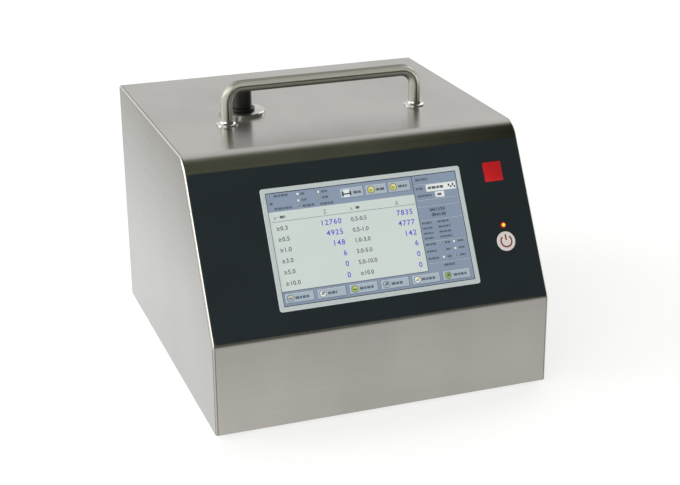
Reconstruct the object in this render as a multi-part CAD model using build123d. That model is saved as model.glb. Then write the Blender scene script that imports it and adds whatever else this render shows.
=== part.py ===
"""Bench-top airborne particle counter: folded case, touch panel, sampling train and rear services.

Units are millimetres. +Z is up, the operator's side faces -Y, and the origin is the middle of the whole
footprint, outlet included, on the surface that the feet stand on.
"""
from build123d import *
import os
from math import cos, radians, sin, tan

# ---- case ----------------------------------------------------------------------------------------
CASE_WIDTH = 270.0
CASE_DEPTH = 290.0
CASE_HEIGHT = 194.0
FRONT_WALL_HEIGHT = 71.0
FACE_TILT = 30.0            # degrees from upright
SHEET = 1.5
KNEE_RADIUS = 7.0           # bend between front wall and sloping face
BROW_RADIUS = 17.0          # bend between sloping face and top
EDGE_RADIUS = 2.0           # ground weld along the side edges
FLANGE_WIDTH = 12.0
PANEL_GAP = 0.3             # all round the base and rear panels
TOUCH = 0.01                # edges this near a face belong to it

# ---- feet and fasteners --------------------------------------------------------------------------
FOOT_HEIGHT = 4.0
FOOT_RADIUS = 10.0
FOOT_TAPER = 1.0
FOOT_INSET = 32.0           # foot centre from the case sides, front and rear
M3_RADIUS = 1.5
M3_HEAD_RADIUS = 3.0
M3_HEAD_HEIGHT = 1.8
M4_RADIUS = 2.0
M4_HEAD_RADIUS = 3.6
M4_HEAD_HEIGHT = 2.4
SCREW_TAIL = 1.0            # thread that shows past a tapped flange
WASHER_THICKNESS = 1.0
WASHER_RIM = 1.0            # washer past the screw head
SCREW_CLEARANCE = 0.2       # radial, in plain holes
THREAD_CLEARANCE = 0.05     # radial, in tapped holes
BASE_SCREW_PITCH = 76.0
REAR_SCREW_PITCH = 80.0
VENT_SLOT_LENGTH = 34.0
VENT_SLOT_WIDTH = 3.0
VENT_SLOT_PITCH = 8.0
VENT_SLOTS = 7
VENTS_FROM_FRONT = 117.0

# ---- carrying handle -----------------------------------------------------------------------------
HANDLE_SPAN = 159.0         # between leg centres
HANDLE_FROM_FRONT = 144.0
HANDLE_RISE = 29.8          # case top to the grip's centre line
HANDLE_ROD_RADIUS = 4.8
HANDLE_BEND_RADIUS = 12.5
HANDLE_TAP_DEPTH = 11.0
HANDLE_TAP_RESERVE = 2.0    # tapped hole past the screw's end
COLLAR_RADIUS = 8.6
COLLAR_HEIGHT = 3.6
COLLAR_LIP = 0.8
COLLAR_SWEEP = 3.5          # radius of the flare

# ---- sloping control face (u across, v up the slope from the knee, w outwards) -------------------
OVERLAY_MARGIN = 2.0        # steel left bare at each side
OVERLAY_FOOT = 2.1          # knee to the overlay's lower edge
OVERLAY_HEAD = 13.2         # brow to the overlay's upper edge
OVERLAY_THICKNESS = 0.8
OVERLAY_CORNER = 3.0
SCREEN_V = 65.2
SCREEN_FROM_SIDE = 57.95    # display opening to the case side
SCREEN_HEIGHT = 85.9
BEZEL_BORDER = 3.5
BEZEL_CORNER = 2.0
BEZEL_ROUND = 0.4
BEZEL_PROUD = 0.7
BEZEL_LIP = 0.9
BEZEL_NECK_INSET = 2.2
GLASS_OVERLAP = 0.6
GLASS_THICKNESS = 1.8
FIT_GAP = 0.1
HOLE_GAP = 0.3
LCD_SIDE_BORDER = 5.4
LCD_END_BORDER = 7.05
LCD_THICKNESS = 5.7
LCD_CORNER = 1.0
LCD_SIGHT_DEPTH = 0.5
BRACKET_SHEET = 1.2
BRACKET_BORDER = 8.0
STUD_RADIUS = 1.5
STUD_TAIL = 4.5             # stud length behind the bracket
NUT_HEIGHT = 2.4
NUT_RADIUS = 3.1
BUTTON_FROM_SIDE = 26.8
BUTTON_V = 48.0
BUTTON_RADIUS = 7.6
BUTTON_PROUD = 0.6
BUTTON_TRAVEL = 0.8
BUTTON_ROUND = 0.42
BUTTON_SKIRT = 1.2
BUTTON_SKIRT_RIM = 1.0
BUTTON_STEM_RADIUS = 1.7
BUTTON_STEM_ENTRY = 0.3     # stem into the switch at rest
LED_V = 60.8
LED_RADIUS = 2.4
LED_DOME = 0.96
KEY_BOARD_WIDTH = 26.0
KEY_BOARD_HEIGHT = 38.0
KEY_BOARD_STANDOFF = 6.0
KEY_STUD_INSET = 3.6
BOARD_THICKNESS = 1.6
BOARD_CORNER = 2.0
SWITCH_SIZE = 10.0
SWITCH_HEIGHT = 3.4
SWITCH_CORNER = 1.0

# ---- sampling inlet ------------------------------------------------------------------------------
INLET_FROM_SIDE = 75.5
INLET_FROM_FRONT = 170.5
INLET_FLANGE_RADIUS = 18.6
INLET_FLANGE_HEIGHT = 3.0
INLET_FLANGE_BEVEL = 0.6
BARB_DEPTH = 0.6
BARB_LENGTH = 2.0
BARB_PITCH = 4.0
NOZZLE_RADIUS = 5.0
NOZZLE_BORE = 3.5
NOZZLE_HEIGHT = 12.0        # above the flange
STEM_RADIUS = 8.0
STEM_LENGTH = 12.0
SPIGOT_LENGTH = 10.0
HOSE_WALL = 1.6
HOSE_GRIP = 8.0             # hose length pushed on to a spigot
CAP_RADIUS = 8.0
CAP_FOOT_RADIUS = 10.3
CAP_FOOT_HEIGHT = 2.2
CAP_HEIGHT = 19.5
CAP_ROOF = 1.8
CAP_GAP = 0.3
CAP_ROUND = 1.2
CAP_FOOT_BEVEL = 0.4
INLET_NUT_HEIGHT = 5.0
INLET_NUT_RADIUS = 13.0
GASKET_THICKNESS = 1.0

# ---- optical sensor ------------------------------------------------------------------------------
SENSOR_SIZE = 60.0
SENSOR_HEIGHT = 60.0
SENSOR_CHAMFER = 3.0
LIGHT_HEIGHT = 36.0         # light path above the sensor's underside
SENSOR_STAND_HEIGHT = 31.0
SENSOR_STAND_SHEET = 2.0
LASER_RADIUS = 9.0
LASER_LENGTH = 28.0
LASER_FINS = 3
LASER_FIN_PITCH = 6.0
LASER_FIN_GAP = 3.0
LASER_FIN_DEPTH = 2.0
DETECTOR_WIDTH = 30.0
DETECTOR_DEPTH = 18.0
DETECTOR_CHAMFER = 1.5
SUCTION_Z = 60.0            # height of the hose line from sensor to exhaust
SPIGOT_RADIUS = 3.4
SPIGOT_BORE = 2.2

# ---- pump, filter and exhaust --------------------------------------------------------------------
PUMP_FROM_SIDE = 75.0
PUMP_WIDTH = 60.0
PUMP_DEPTH = 44.0
PUMP_HEIGHT = 62.0
PUMP_FIN_PITCH = 9.0
PUMP_FIN_DEPTH = 4.0
PUMP_FINS = 5
PUMP_FIN_GAP = 3.0
PUMP_ROUND = 8.0
MOTOR_RADIUS = 22.0
MOTOR_LENGTH = 56.0
MOTOR_CHAMFER = 2.0
MOTOR_BELL_RADIUS = 7.3
MOTOR_BELL = 3.0
DAMPER_RADIUS = 6.0
DAMPER_HEIGHT = 8.0
DAMPER_MARGIN = 2.0
PUMP_PLATE = 2.0
PUMP_PLATE_OVERHANG = 8.0
PUMP_PLATE_CORNER = 4.0
FILTER_RADIUS = 22.0
LINK_GAP = 2.75             # between hose tails, before and behind the filter
FILTER_BEVEL = 4.0
SADDLE_WIDTH = 24.0
SADDLE_WALL = 4.0
EXHAUST_RADIUS = 5.0
EXHAUST_BORE = 3.5
EXHAUST_REACH = 14.0
EXHAUST_COLLAR = 9.0
EXHAUST_SHOULDER = 3.0
EXHAUST_STEM_RADIUS = 7.0
EXHAUST_STEM = 6.0
EXHAUST_NUT_RADIUS = 11.0
EXHAUST_NUT_HEIGHT = 4.0

# ---- cooling fan ---------------------------------------------------------------------------------
FAN_X = 0.0
FAN_Z = 138.0
FAN_SIZE = 60.0
FAN_DEPTH = 15.0
FAN_CORNER = 3.0
FAN_STRUT = 3.0
FAN_BEARING_RADIUS = 3.0
FAN_BEARING_HEIGHT = 2.0
ROTOR_FLOOR = 6.0
ROTOR_CLEAR = 1.0
ROTOR_ROUND = 1.0
FAN_HOLE_PITCH = 50.0
FAN_THROAT_RADIUS = 28.4
FAN_HUB_RADIUS = 13.5
FAN_TIP_GAP = 0.7
FAN_BLADES = 7
BLADE_ROOT_PITCH = 42.0     # degrees from the fan's plane
BLADE_TIP_PITCH = 27.0
BLADE_THICKNESS = 1.2
FAN_SHAFT_RADIUS = 1.5
RUNNING_GAP = 0.05
GUARD_WIRE = 0.9            # wire radius
GUARD_LIFT = 0.1            # spokes above the panel
GUARD_EYE = 1.4             # thickness of the flattened screw eyes
GUARD_EYE_RIM = 1.0
GUARD_INNER_RING = 8.0
GUARD_RING_PITCH = 6.5
GUARD_RING_COUNT = 4

# ---- rear services -------------------------------------------------------------------------------
MAINS_FROM_SIDE = 45.0
INLET_SOCKET_Z = 60.0
SOCKET_WIDTH = 24.6
SOCKET_HEIGHT = 17.0
SOCKET_DEPTH = 16.0
SOCKET_WALL = 1.8
SOCKET_BACK = 4.0
SOCKET_KEY = 4.0
SOCKET_FLANGE_WIDTH = 50.0
SOCKET_FLANGE_HEIGHT = 24.0
SOCKET_FLANGE = 3.0
SOCKET_FLANGE_CORNER = 4.0
SOCKET_SCREW_PITCH = 40.0
PIN_RECESS = 6.0            # socket mouth to the pin tips
PIN_PITCH = 7.0
PIN_STAGGER = 2.0           # earth pin up, live and neutral down
PIN_WIDTH = 2.0
PIN_HEIGHT = 4.0
TAG_WIDTH = 1.0
TAG_HEIGHT = 5.0
TAG_LENGTH = 7.0
ROCKER_Z = 100.0
ROCKER_LENGTH = 21.0
ROCKER_WIDTH = 13.0
ROCKER_CROWN = 4.6
ROCKER_UNDER = 4.0
ROCKER_DISH = 1.2
ROCKER_DISH_RADIUS = 31.5
ROCKER_END_GAP = 0.7
ROCKER_WELL = 9.0
ROCKER_TILT = 8.0           # degrees each side of level
ROCKER_FLANGE_WIDTH = 22.0
ROCKER_FLANGE_HEIGHT = 30.0
ROCKER_FLANGE = 2.0
ROCKER_FLANGE_LAP = 1.5
ROCKER_FLANGE_CORNER = 2.0
ROCKER_FLANGE_BEVEL = 0.6
ROCKER_BODY_DEPTH = 20.0
ROCKER_TAG_PITCH = 8.0
TRUNNION_RADIUS = 1.2
TRUNNION_REACH = 1.5
TRUNNION_END_GAP = 0.5
PIVOT_DEPTH = 1.0           # pivot behind the panel's outer face
IO_FROM_SIDE = 51.0
IO_BOARD_Z = 118.0
IO_BOARD_WIDTH = 66.0
IO_BOARD_DEPTH = 34.0
NETWORK_OFFSET = -20.0
NETWORK_WIDTH = 16.0
NETWORK_HEIGHT = 13.4
NETWORK_DEPTH = 21.0
NETWORK_PROUD = 1.0
JACK_WIDTH = 12.0
JACK_HEIGHT = 7.4
JACK_DEPTH = 12.0
JACK_DROP = 0.6
LATCH_WIDTH = 6.4
LATCH_HEIGHT = 2.4
LATCH_RISE = 4.2
SERIAL_OFFSET = 12.0
SERIAL_WIDTH = 16.4
SERIAL_HEIGHT = 8.4
SERIAL_FLANGE_WIDTH = 30.8
SERIAL_FLANGE_HEIGHT = 12.6
SERIAL_REACH = 5.6
SERIAL_BODY_DEPTH = 11.0
SERIAL_BODY_RIM = 1.0
SERIAL_FLANGE_SHEET = 1.0
SERIAL_TAPER = 1.5
SERIAL_ROUND = 2.0
POST_RIM = 1.2
POST_BORE = 1.05
POST_TAIL = 1.5
SERIAL_SCREW_PITCH = 25.0

# ---- electronics ---------------------------------------------------------------------------------
MAIN_BOARD_FROM_SIDE = 17.0
MAIN_BOARD_FROM_FRONT = 51.0
MAIN_BOARD_GAP = 3.0        # to the battery
MAIN_BOARD_DEPTH = 66.0
STANDOFF_HEIGHT = 8.0
STANDOFF_RADIUS = 3.0
STANDOFF_INSET = 5.0
CHIP_SIZE = 14.0
CHIP_HEIGHT = 2.0
COIL_HEIGHT = 9.0
CAPACITOR_RADIUS = 4.0
CAPACITOR_HEIGHT = 12.0
CAPACITOR_PITCH = 14.0
CAPACITOR_EDGE = 6.0
BATTERY_FROM_SIDE = 75.0
BATTERY_FROM_FRONT = 43.0
BATTERY_WIDTH = 74.0
BATTERY_DEPTH = 44.0
BATTERY_HEIGHT = 40.0
BATTERY_ROUND = 4.0
SUPPLY_FROM_SIDE = 62.0
SUPPLY_FROM_REAR = 15.0
SUPPLY_CLEARANCE = 14.5     # behind the sensor
SUPPLY_WIDTH = 50.0
SUPPLY_HEIGHT = 34.0
SUPPLY_SLOT_LENGTH = 30.0
SUPPLY_SLOTS = 5
SUPPLY_LID_PITCHES = 7.5    # slot pitches that the lid's depth takes

# ---- worked out from the values above ------------------------------------------------------------
CASE_BOTTOM = FOOT_HEIGHT
CASE_TOP = CASE_BOTTOM + CASE_HEIGHT
CASE_FRONT = -(CASE_DEPTH + EXHAUST_REACH) / 2      # the outlet stands out at the rear
CASE_REAR = CASE_FRONT + CASE_DEPTH
CASE_MIDDLE = (CASE_FRONT + CASE_REAR) / 2
CASE_LEFT = -CASE_WIDTH / 2
CASE_RIGHT = CASE_WIDTH / 2
HANDLE_Y = CASE_FRONT + HANDLE_FROM_FRONT
INLET_X = CASE_LEFT + INLET_FROM_SIDE
INLET_Y = CASE_FRONT + INLET_FROM_FRONT
VENT_BANK_Y = CASE_FRONT + VENTS_FROM_FRONT
BATTERY_X = CASE_LEFT + BATTERY_FROM_SIDE
MAIN_BOARD_Y = CASE_FRONT + MAIN_BOARD_FROM_FRONT
BATTERY_Y = CASE_FRONT + BATTERY_FROM_FRONT
MAIN_BOARD_LEFT = BATTERY_X + BATTERY_WIDTH / 2 + MAIN_BOARD_GAP
MAIN_BOARD_WIDTH = CASE_RIGHT - MAIN_BOARD_FROM_SIDE - MAIN_BOARD_LEFT
MAIN_BOARD_X = MAIN_BOARD_LEFT + MAIN_BOARD_WIDTH / 2
SUPPLY_X = CASE_LEFT + SUPPLY_FROM_SIDE
PUMP_X = CASE_RIGHT - PUMP_FROM_SIDE
MAINS_X = CASE_LEFT + MAINS_FROM_SIDE
IO_X = CASE_RIGHT - IO_FROM_SIDE
NETWORK_X = IO_X + NETWORK_OFFSET
SERIAL_X = IO_X + SERIAL_OFFSET
NETWORK_Z = IO_BOARD_Z + BOARD_THICKNESS + NETWORK_HEIGHT / 2
SERIAL_Z = IO_BOARD_Z + BOARD_THICKNESS + SERIAL_FLANGE_HEIGHT / 2
BUTTON_U = CASE_RIGHT - BUTTON_FROM_SIDE
SUPPLY_FRONT = INLET_Y + SENSOR_SIZE / 2 + SUPPLY_CLEARANCE
SUPPLY_DEPTH = CASE_REAR - SUPPLY_FROM_REAR - SUPPLY_FRONT
SUPPLY_SLOT_PITCH = SUPPLY_DEPTH / SUPPLY_LID_PITCHES
SUPPLY_Y = SUPPLY_FRONT + SUPPLY_DEPTH / 2
KNEE_Z = CASE_BOTTOM + FRONT_WALL_HEIGHT
BROW_Y = CASE_FRONT + (CASE_TOP - KNEE_Z) * tan(radians(FACE_TILT))
INNER_HALF_WIDTH = CASE_WIDTH / 2 - SHEET
CEILING = CASE_TOP - SHEET
FLOOR = CASE_BOTTOM + SHEET             # top of the base plate
REAR_INNER = CASE_REAR - SHEET          # inner face of the rear panel
BEHIND = -SHEET                         # w of the steel's inner face
FACE = Plane(origin=(0, CASE_FRONT, KNEE_Z), x_dir=(1, 0, 0),
             z_dir=(0, -cos(radians(FACE_TILT)), sin(radians(FACE_TILT))))
FACE_LENGTH = (CASE_TOP - KNEE_Z) / cos(radians(FACE_TILT))
OVERLAY_WIDTH = CASE_WIDTH - 2 * OVERLAY_MARGIN
OVERLAY_HEIGHT = FACE_LENGTH - OVERLAY_HEAD - OVERLAY_FOOT
SCREEN_WIDTH = CASE_WIDTH - 2 * SCREEN_FROM_SIDE
LCD_WIDTH = SCREEN_WIDTH + 2 * LCD_SIDE_BORDER
LCD_HEIGHT = SCREEN_HEIGHT + 2 * LCD_END_BORDER
BEZEL_WIDTH = SCREEN_WIDTH + 2 * BEZEL_BORDER
BEZEL_HEIGHT = SCREEN_HEIGHT + 2 * BEZEL_BORDER
NECK_WIDTH = BEZEL_WIDTH - 2 * BEZEL_NECK_INSET
NECK_HEIGHT = BEZEL_HEIGHT - 2 * BEZEL_NECK_INSET
BEZEL_FRONT = OVERLAY_THICKNESS + BEZEL_PROUD
GLASS_FRONT = BEZEL_FRONT - BEZEL_LIP
LCD_BACK = BEHIND - LCD_THICKNESS
BRACKET_BACK = LCD_BACK - BRACKET_SHEET
STUD_U = LCD_WIDTH / 2 + BRACKET_BORDER / 2
STUD_V = LCD_HEIGHT / 2 + BRACKET_BORDER / 2
KEY_BOARD_FRONT = BEHIND - KEY_BOARD_STANDOFF
SWITCH_FRONT = KEY_BOARD_FRONT + SWITCH_HEIGHT
SENSOR_FLOOR = FLOOR + SENSOR_STAND_HEIGHT
SENSOR_TOP = SENSOR_FLOOR + SENSOR_HEIGHT
PUMP_FLOOR = FLOOR + DAMPER_HEIGHT + PUMP_PLATE
PUMP_BACK = INLET_Y + PUMP_DEPTH / 2
PUMP_TAIL = PUMP_BACK + SPIGOT_LENGTH
PORT_TAIL = CASE_REAR - EXHAUST_STEM - SPIGOT_LENGTH
FILTER_START = PUMP_TAIL + LINK_GAP + SPIGOT_LENGTH
FILTER_LENGTH = PORT_TAIL - LINK_GAP - SPIGOT_LENGTH - FILTER_START
PUMP_PLATE_DEPTH = PUMP_DEPTH + 2 * PUMP_PLATE_OVERHANG
MOTOR_Z = PUMP_FLOOR + PUMP_HEIGHT / 2

GUARD_RINGS = [GUARD_INNER_RING + index * GUARD_RING_PITCH for index in range(GUARD_RING_COUNT)]

LOW = (Align.CENTER, Align.CENTER, Align.MIN)
HIGH = (Align.CENTER, Align.CENTER, Align.MAX)
ON_FLOOR_BEHIND = (Align.CENTER, Align.MIN, Align.MIN)
ON_FLOOR_AHEAD = (Align.CENTER, Align.MAX, Align.MIN)
UNDER_AHEAD = (Align.CENTER, Align.MAX, Align.MAX)
REAR_OUT = Plane(origin=(0, CASE_REAR, 0), x_dir=(-1, 0, 0), z_dir=(0, 1, 0))

PIECES = {}


# ---- small helpers -------------------------------------------------------------------------------
def keep(name, *solids):
    """Store one named piece, as a single solid or as a group of separate like solids."""
    PIECES[name] = solids[0] if len(solids) == 1 else Compound(children=list(solids))


def on_face(u, v, w, shape):
    """Place a shape on the sloping face."""
    return FACE.location * Pos(u, v, w) * shape


def on_rear(x, z, out, shape):
    """Place a shape on the rear panel's outer face, its own Z pointing outwards."""
    return REAR_OUT.location * Pos(-x, z, out) * shape


def slab(width, height, depth, corner, align=LOW):
    """A plate with rounded corners."""
    outline = RectangleRounded(width, height, corner) if corner else Rectangle(width, height)
    base = extrude(outline, amount=depth)
    return base if align is LOW else Pos(0, 0, -depth) * base


def ring(outer, inner, height):
    """A plain bush standing on z = 0."""
    return Cylinder(outer, height, align=LOW) - Cylinder(inner, height, align=LOW)


def screw(radius, length, head_radius, head_height):
    """A cheese-head screw: head above z = 0, shank below it."""
    return Cylinder(head_radius, head_height, align=LOW) + Cylinder(radius, length, align=HIGH)


def hex_nut(radius, bore, height):
    """A hexagon nut standing on z = 0."""
    return extrude(RegularPolygon(radius, 6), amount=height) - Cylinder(bore, height, align=LOW)


def corners(half_x, half_y):
    """The four corner places of a rectangle."""
    return [(side_x * half_x, side_y * half_y) for side_y in (-1, 1) for side_x in (-1, 1)]


def spread(pitch, count):
    """Equally spaced places about zero."""
    return [(index - (count - 1) / 2) * pitch for index in range(count)]


# ---- case ----------------------------------------------------------------------------------------
def case_block(inset, half_width, overrun):
    """The case's volume, inset from its outside and run past the open bottom and rear."""
    front = CASE_FRONT + inset
    knee = KNEE_Z - inset * tan(radians(FACE_TILT / 2))
    brow = BROW_Y + inset * tan(radians((90 - FACE_TILT) / 2))
    top = CASE_TOP - inset
    rear = CASE_REAR + overrun
    bottom = CASE_BOTTOM - overrun
    points = [(front, bottom), (front, knee), (brow, top), (rear, top), (rear, bottom)]
    outline = make_face(Polyline(*points, close=True))
    outline = fillet(outline.vertices().sort_by_distance((front, knee))[0], KNEE_RADIUS - inset)
    outline = fillet(outline.vertices().sort_by_distance((brow, top))[:1], BROW_RADIUS - inset)
    return extrude(Plane.YZ * outline, amount=half_width, both=True)


def folded_edges(block, half_width):
    """The long side edges of the case, without those of the open bottom and rear."""
    chosen = []
    for edge in block.edges():
        centre = edge.center()
        on_side = abs(abs(centre.X) - half_width) < TOUCH
        at_bottom = abs(centre.Z - CASE_BOTTOM) < TOUCH
        at_rear = abs(centre.Y - CASE_REAR) < TOUCH
        if on_side and not at_bottom and not at_rear:
            chosen.append(edge)
    return chosen


def base_screw_places():
    """Base-plate screws, along both side flanges and the front one."""
    side_x = INNER_HALF_WIDTH - FLANGE_WIDTH / 2
    front_y = CASE_FRONT + SHEET + FLANGE_WIDTH / 2
    places = [(side * side_x, CASE_MIDDLE + y) for y in spread(BASE_SCREW_PITCH, 3) for side in (-1, 1)]
    return places + [(x, front_y) for x in spread(BASE_SCREW_PITCH, 2)]


def rear_screw_places():
    """Rear-panel screws as x and z: along the side flanges and the top one."""
    side_x = INNER_HALF_WIDTH - FLANGE_WIDTH / 2
    middle_z = (FLOOR + CEILING) / 2
    top_z = CEILING - FLANGE_WIDTH / 2
    places = [(side * side_x, middle_z + z) for z in spread(REAR_SCREW_PITCH, 2) for side in (-1, 1)]
    return places + [(x, top_z) for x in spread(REAR_SCREW_PITCH, 2)]


def rear_foot_screw_places():
    """Screws that hold the rear panel's bottom flange to the base plate."""
    return [(x, REAR_INNER - FLANGE_WIDTH / 2) for x in spread(REAR_SCREW_PITCH, 2)]


def stud_places():
    """Display studs on the sloping face."""
    return [(u, SCREEN_V + v) for u, v in corners(STUD_U, STUD_V)]


def key_stud_places():
    """Studs that carry the small key board."""
    middle = (BUTTON_V + LED_V) / 2
    across = KEY_BOARD_WIDTH / 2 - KEY_STUD_INSET
    along = KEY_BOARD_HEIGHT / 2 - KEY_STUD_INSET
    return [(BUTTON_U + side * across, middle + side * along) for side in (-1, 1)]


def housing_shell():
    """Front, sloping face and top folded from one sheet, with the sides and inner flanges welded to it."""
    outside = case_block(0, CASE_WIDTH / 2, 0)
    outside = fillet(folded_edges(outside, CASE_WIDTH / 2), EDGE_RADIUS)
    shell = outside - case_block(SHEET, INNER_HALF_WIDTH, CASE_HEIGHT)
    inner_width = 2 * INNER_HALF_WIDTH
    clear_width = inner_width - 2 * FLANGE_WIDTH
    inner_front = CASE_FRONT + SHEET
    flange_depth = REAR_INNER - SHEET - FLANGE_WIDTH - inner_front
    bottom_flange = Box(inner_width, flange_depth, SHEET, align=ON_FLOOR_BEHIND)
    bottom_flange -= Pos(0, FLANGE_WIDTH, 0) * Box(clear_width, flange_depth, SHEET, align=ON_FLOOR_BEHIND)
    bottom_flange = Pos(0, inner_front, FLOOR) * bottom_flange
    inner_height = CEILING - FLOOR - SHEET
    rear_flange = Box(inner_width, SHEET, inner_height, align=ON_FLOOR_AHEAD)
    rear_flange -= Box(clear_width, SHEET, inner_height - FLANGE_WIDTH, align=ON_FLOOR_AHEAD)
    shell += bottom_flange + Pos(0, REAR_INNER, FLOOR + SHEET) * rear_flange
    stud_length = BRACKET_SHEET + LCD_THICKNESS + STUD_TAIL
    for u, v in stud_places():
        shell += on_face(u, v, BEHIND, Cylinder(STUD_RADIUS, stud_length, align=HIGH))
    for u, v in key_stud_places():
        shell += on_face(u, v, BEHIND, Cylinder(STUD_RADIUS, KEY_BOARD_STANDOFF + STUD_TAIL, align=HIGH))
    window = slab(NECK_WIDTH + 2 * HOLE_GAP, NECK_HEIGHT + 2 * HOLE_GAP, SHEET, BEZEL_CORNER, HIGH)
    shell -= on_face(0, SCREEN_V, 0, window)
    shell -= on_face(BUTTON_U, BUTTON_V, 0, Cylinder(BUTTON_RADIUS + HOLE_GAP, SHEET, align=HIGH))
    shell -= on_face(BUTTON_U, LED_V, 0, Cylinder(LED_RADIUS + HOLE_GAP, SHEET, align=HIGH))
    for side in (-1, 1):
        hole = Cylinder(M4_RADIUS + SCREW_CLEARANCE, SHEET, align=LOW)
        shell -= Pos(side * HANDLE_SPAN / 2, HANDLE_Y, CEILING) * hole
    shell -= Pos(INLET_X, INLET_Y, CEILING) * Cylinder(STEM_RADIUS + FIT_GAP, SHEET, align=LOW)
    for x, y in base_screw_places():
        shell -= Pos(x, y, FLOOR) * Cylinder(M3_RADIUS + THREAD_CLEARANCE, SHEET, align=LOW)
    for x, z in rear_screw_places():
        shell -= on_rear(x, z, -SHEET, Cylinder(M3_RADIUS + THREAD_CLEARANCE, SHEET, align=HIGH))
    return shell


def foot_places():
    """Foot centres under the base plate."""
    places = corners(CASE_WIDTH / 2 - FOOT_INSET, CASE_DEPTH / 2 - FOOT_INSET)
    return [(x, CASE_MIDDLE + y) for x, y in places]


def base_plate():
    """Flat bottom cover with its screw holes and two banks of air slots."""
    width = 2 * (INNER_HALF_WIDTH - PANEL_GAP)
    front = CASE_FRONT + SHEET + PANEL_GAP
    plate = Pos(0, (front + CASE_REAR) / 2, CASE_BOTTOM) * Box(width, CASE_REAR - front, SHEET, align=LOW)
    hole = Cylinder(M3_RADIUS + SCREW_CLEARANCE, SHEET, align=LOW)
    for x, y in base_screw_places() + rear_foot_screw_places() + foot_places():
        plate -= Pos(x, y, CASE_BOTTOM) * hole
    slot = extrude(SlotOverall(VENT_SLOT_LENGTH, VENT_SLOT_WIDTH), amount=SHEET)
    for y in spread(VENT_SLOT_PITCH, VENT_SLOTS):
        plate -= Pos(0, VENT_BANK_Y + y, CASE_BOTTOM) * slot
    return plate


def rear_panel():
    """Rear cover with a bottom flange folded forwards, and the cut-outs for fan, mains, data and exhaust."""
    width = 2 * (INNER_HALF_WIDTH - PANEL_GAP)
    top = CEILING - PANEL_GAP
    panel = Pos(0, CASE_REAR, FLOOR) * Box(width, SHEET, top - FLOOR, align=ON_FLOOR_AHEAD)
    flange_width = width - 2 * (FLANGE_WIDTH + PANEL_GAP)
    panel += Pos(0, REAR_INNER, FLOOR) * Box(flange_width, FLANGE_WIDTH, SHEET, align=ON_FLOOR_AHEAD)
    inner_bend = panel.edges().filter_by(Axis.X).sort_by_distance((0, REAR_INNER, FLOOR + SHEET))[0]
    panel = fillet(inner_bend, SHEET)
    plain_hole = Cylinder(M3_RADIUS + SCREW_CLEARANCE, SHEET, align=HIGH)
    for x, z in rear_screw_places():
        panel -= on_rear(x, z, 0, plain_hole)
    for x, y in rear_foot_screw_places():
        panel -= Pos(x, y, FLOOR) * Cylinder(M3_RADIUS + THREAD_CLEARANCE, SHEET, align=LOW)
    panel -= on_rear(FAN_X, FAN_Z, 0, Cylinder(FAN_THROAT_RADIUS, SHEET, align=HIGH))
    for x, z in corners(FAN_HOLE_PITCH / 2, FAN_HOLE_PITCH / 2):
        panel -= on_rear(FAN_X + x, FAN_Z + z, 0, plain_hole)
    socket_rim = 2 * (SOCKET_WALL + FIT_GAP)
    socket_hole = Box(SOCKET_WIDTH + socket_rim, SOCKET_HEIGHT + socket_rim, SHEET, align=HIGH)
    panel -= on_rear(MAINS_X, INLET_SOCKET_Z, 0, socket_hole)
    for x in spread(SOCKET_SCREW_PITCH, 2):
        panel -= on_rear(MAINS_X + x, INLET_SOCKET_Z, 0, plain_hole)
    rocker_width = ROCKER_FLANGE_WIDTH - 2 * ROCKER_FLANGE_LAP
    rocker_height = ROCKER_FLANGE_HEIGHT - 2 * ROCKER_FLANGE_LAP
    panel -= on_rear(MAINS_X, ROCKER_Z, 0, Box(rocker_width, rocker_height, SHEET, align=HIGH))
    panel -= on_rear(PUMP_X, SUCTION_Z, 0, Cylinder(EXHAUST_STEM_RADIUS + FIT_GAP, SHEET, align=HIGH))
    network_hole = Box(NETWORK_WIDTH + 2 * HOLE_GAP, NETWORK_HEIGHT + 2 * HOLE_GAP, SHEET, align=HIGH)
    panel -= on_rear(NETWORK_X, NETWORK_Z, 0, network_hole)
    panel -= on_rear(SERIAL_X, SERIAL_Z, 0, serial_shell(SHEET, HOLE_GAP, HIGH))
    for x in spread(SERIAL_SCREW_PITCH, 2):
        panel -= on_rear(SERIAL_X + x, SERIAL_Z, 0, plain_hole)
    return panel


def foot():
    """A turned rubber foot with a sunk screw seat."""
    profile = Polyline((M3_RADIUS + SCREW_CLEARANCE, FOOT_HEIGHT), (FOOT_RADIUS, FOOT_HEIGHT),
                       (FOOT_RADIUS - FOOT_TAPER, 0), (M3_HEAD_RADIUS + FOOT_TAPER, 0),
                       (M3_HEAD_RADIUS + FOOT_TAPER, FOOT_HEIGHT / 2 + SCREW_CLEARANCE),
                       (M3_RADIUS + SCREW_CLEARANCE, FOOT_HEIGHT / 2 + SCREW_CLEARANCE), close=True)
    return revolve(Plane.XZ * make_face(profile), axis=Axis.Z)


def build_case():
    """Case, covers, feet and their fasteners."""
    keep("housing_shell", housing_shell())
    keep("base_plate", base_plate())
    keep("rear_panel", rear_panel())
    keep("rubber_feet", *[Pos(x, y, 0) * foot() for x, y in foot_places()])
    upward = Rot(180, 0, 0)
    foot_seat = FOOT_HEIGHT / 2 + SCREW_CLEARANCE
    foot_shank = CASE_BOTTOM + SHEET - foot_seat + NUT_HEIGHT
    foot_screw = upward * screw(M3_RADIUS, foot_shank, M3_HEAD_RADIUS, M3_HEAD_HEIGHT)
    keep("foot_screws", *[Pos(x, y, foot_seat) * foot_screw for x, y in foot_places()])
    case_screw = screw(M3_RADIUS, 2 * SHEET + SCREW_TAIL, M3_HEAD_RADIUS, M3_HEAD_HEIGHT)
    places = base_screw_places() + rear_foot_screw_places()
    case_screws = [Pos(x, y, CASE_BOTTOM) * upward * case_screw for x, y in places]
    case_screws += [on_rear(x, z, 0, case_screw) for x, z in rear_screw_places()]
    keep("case_screws", *case_screws)


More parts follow.
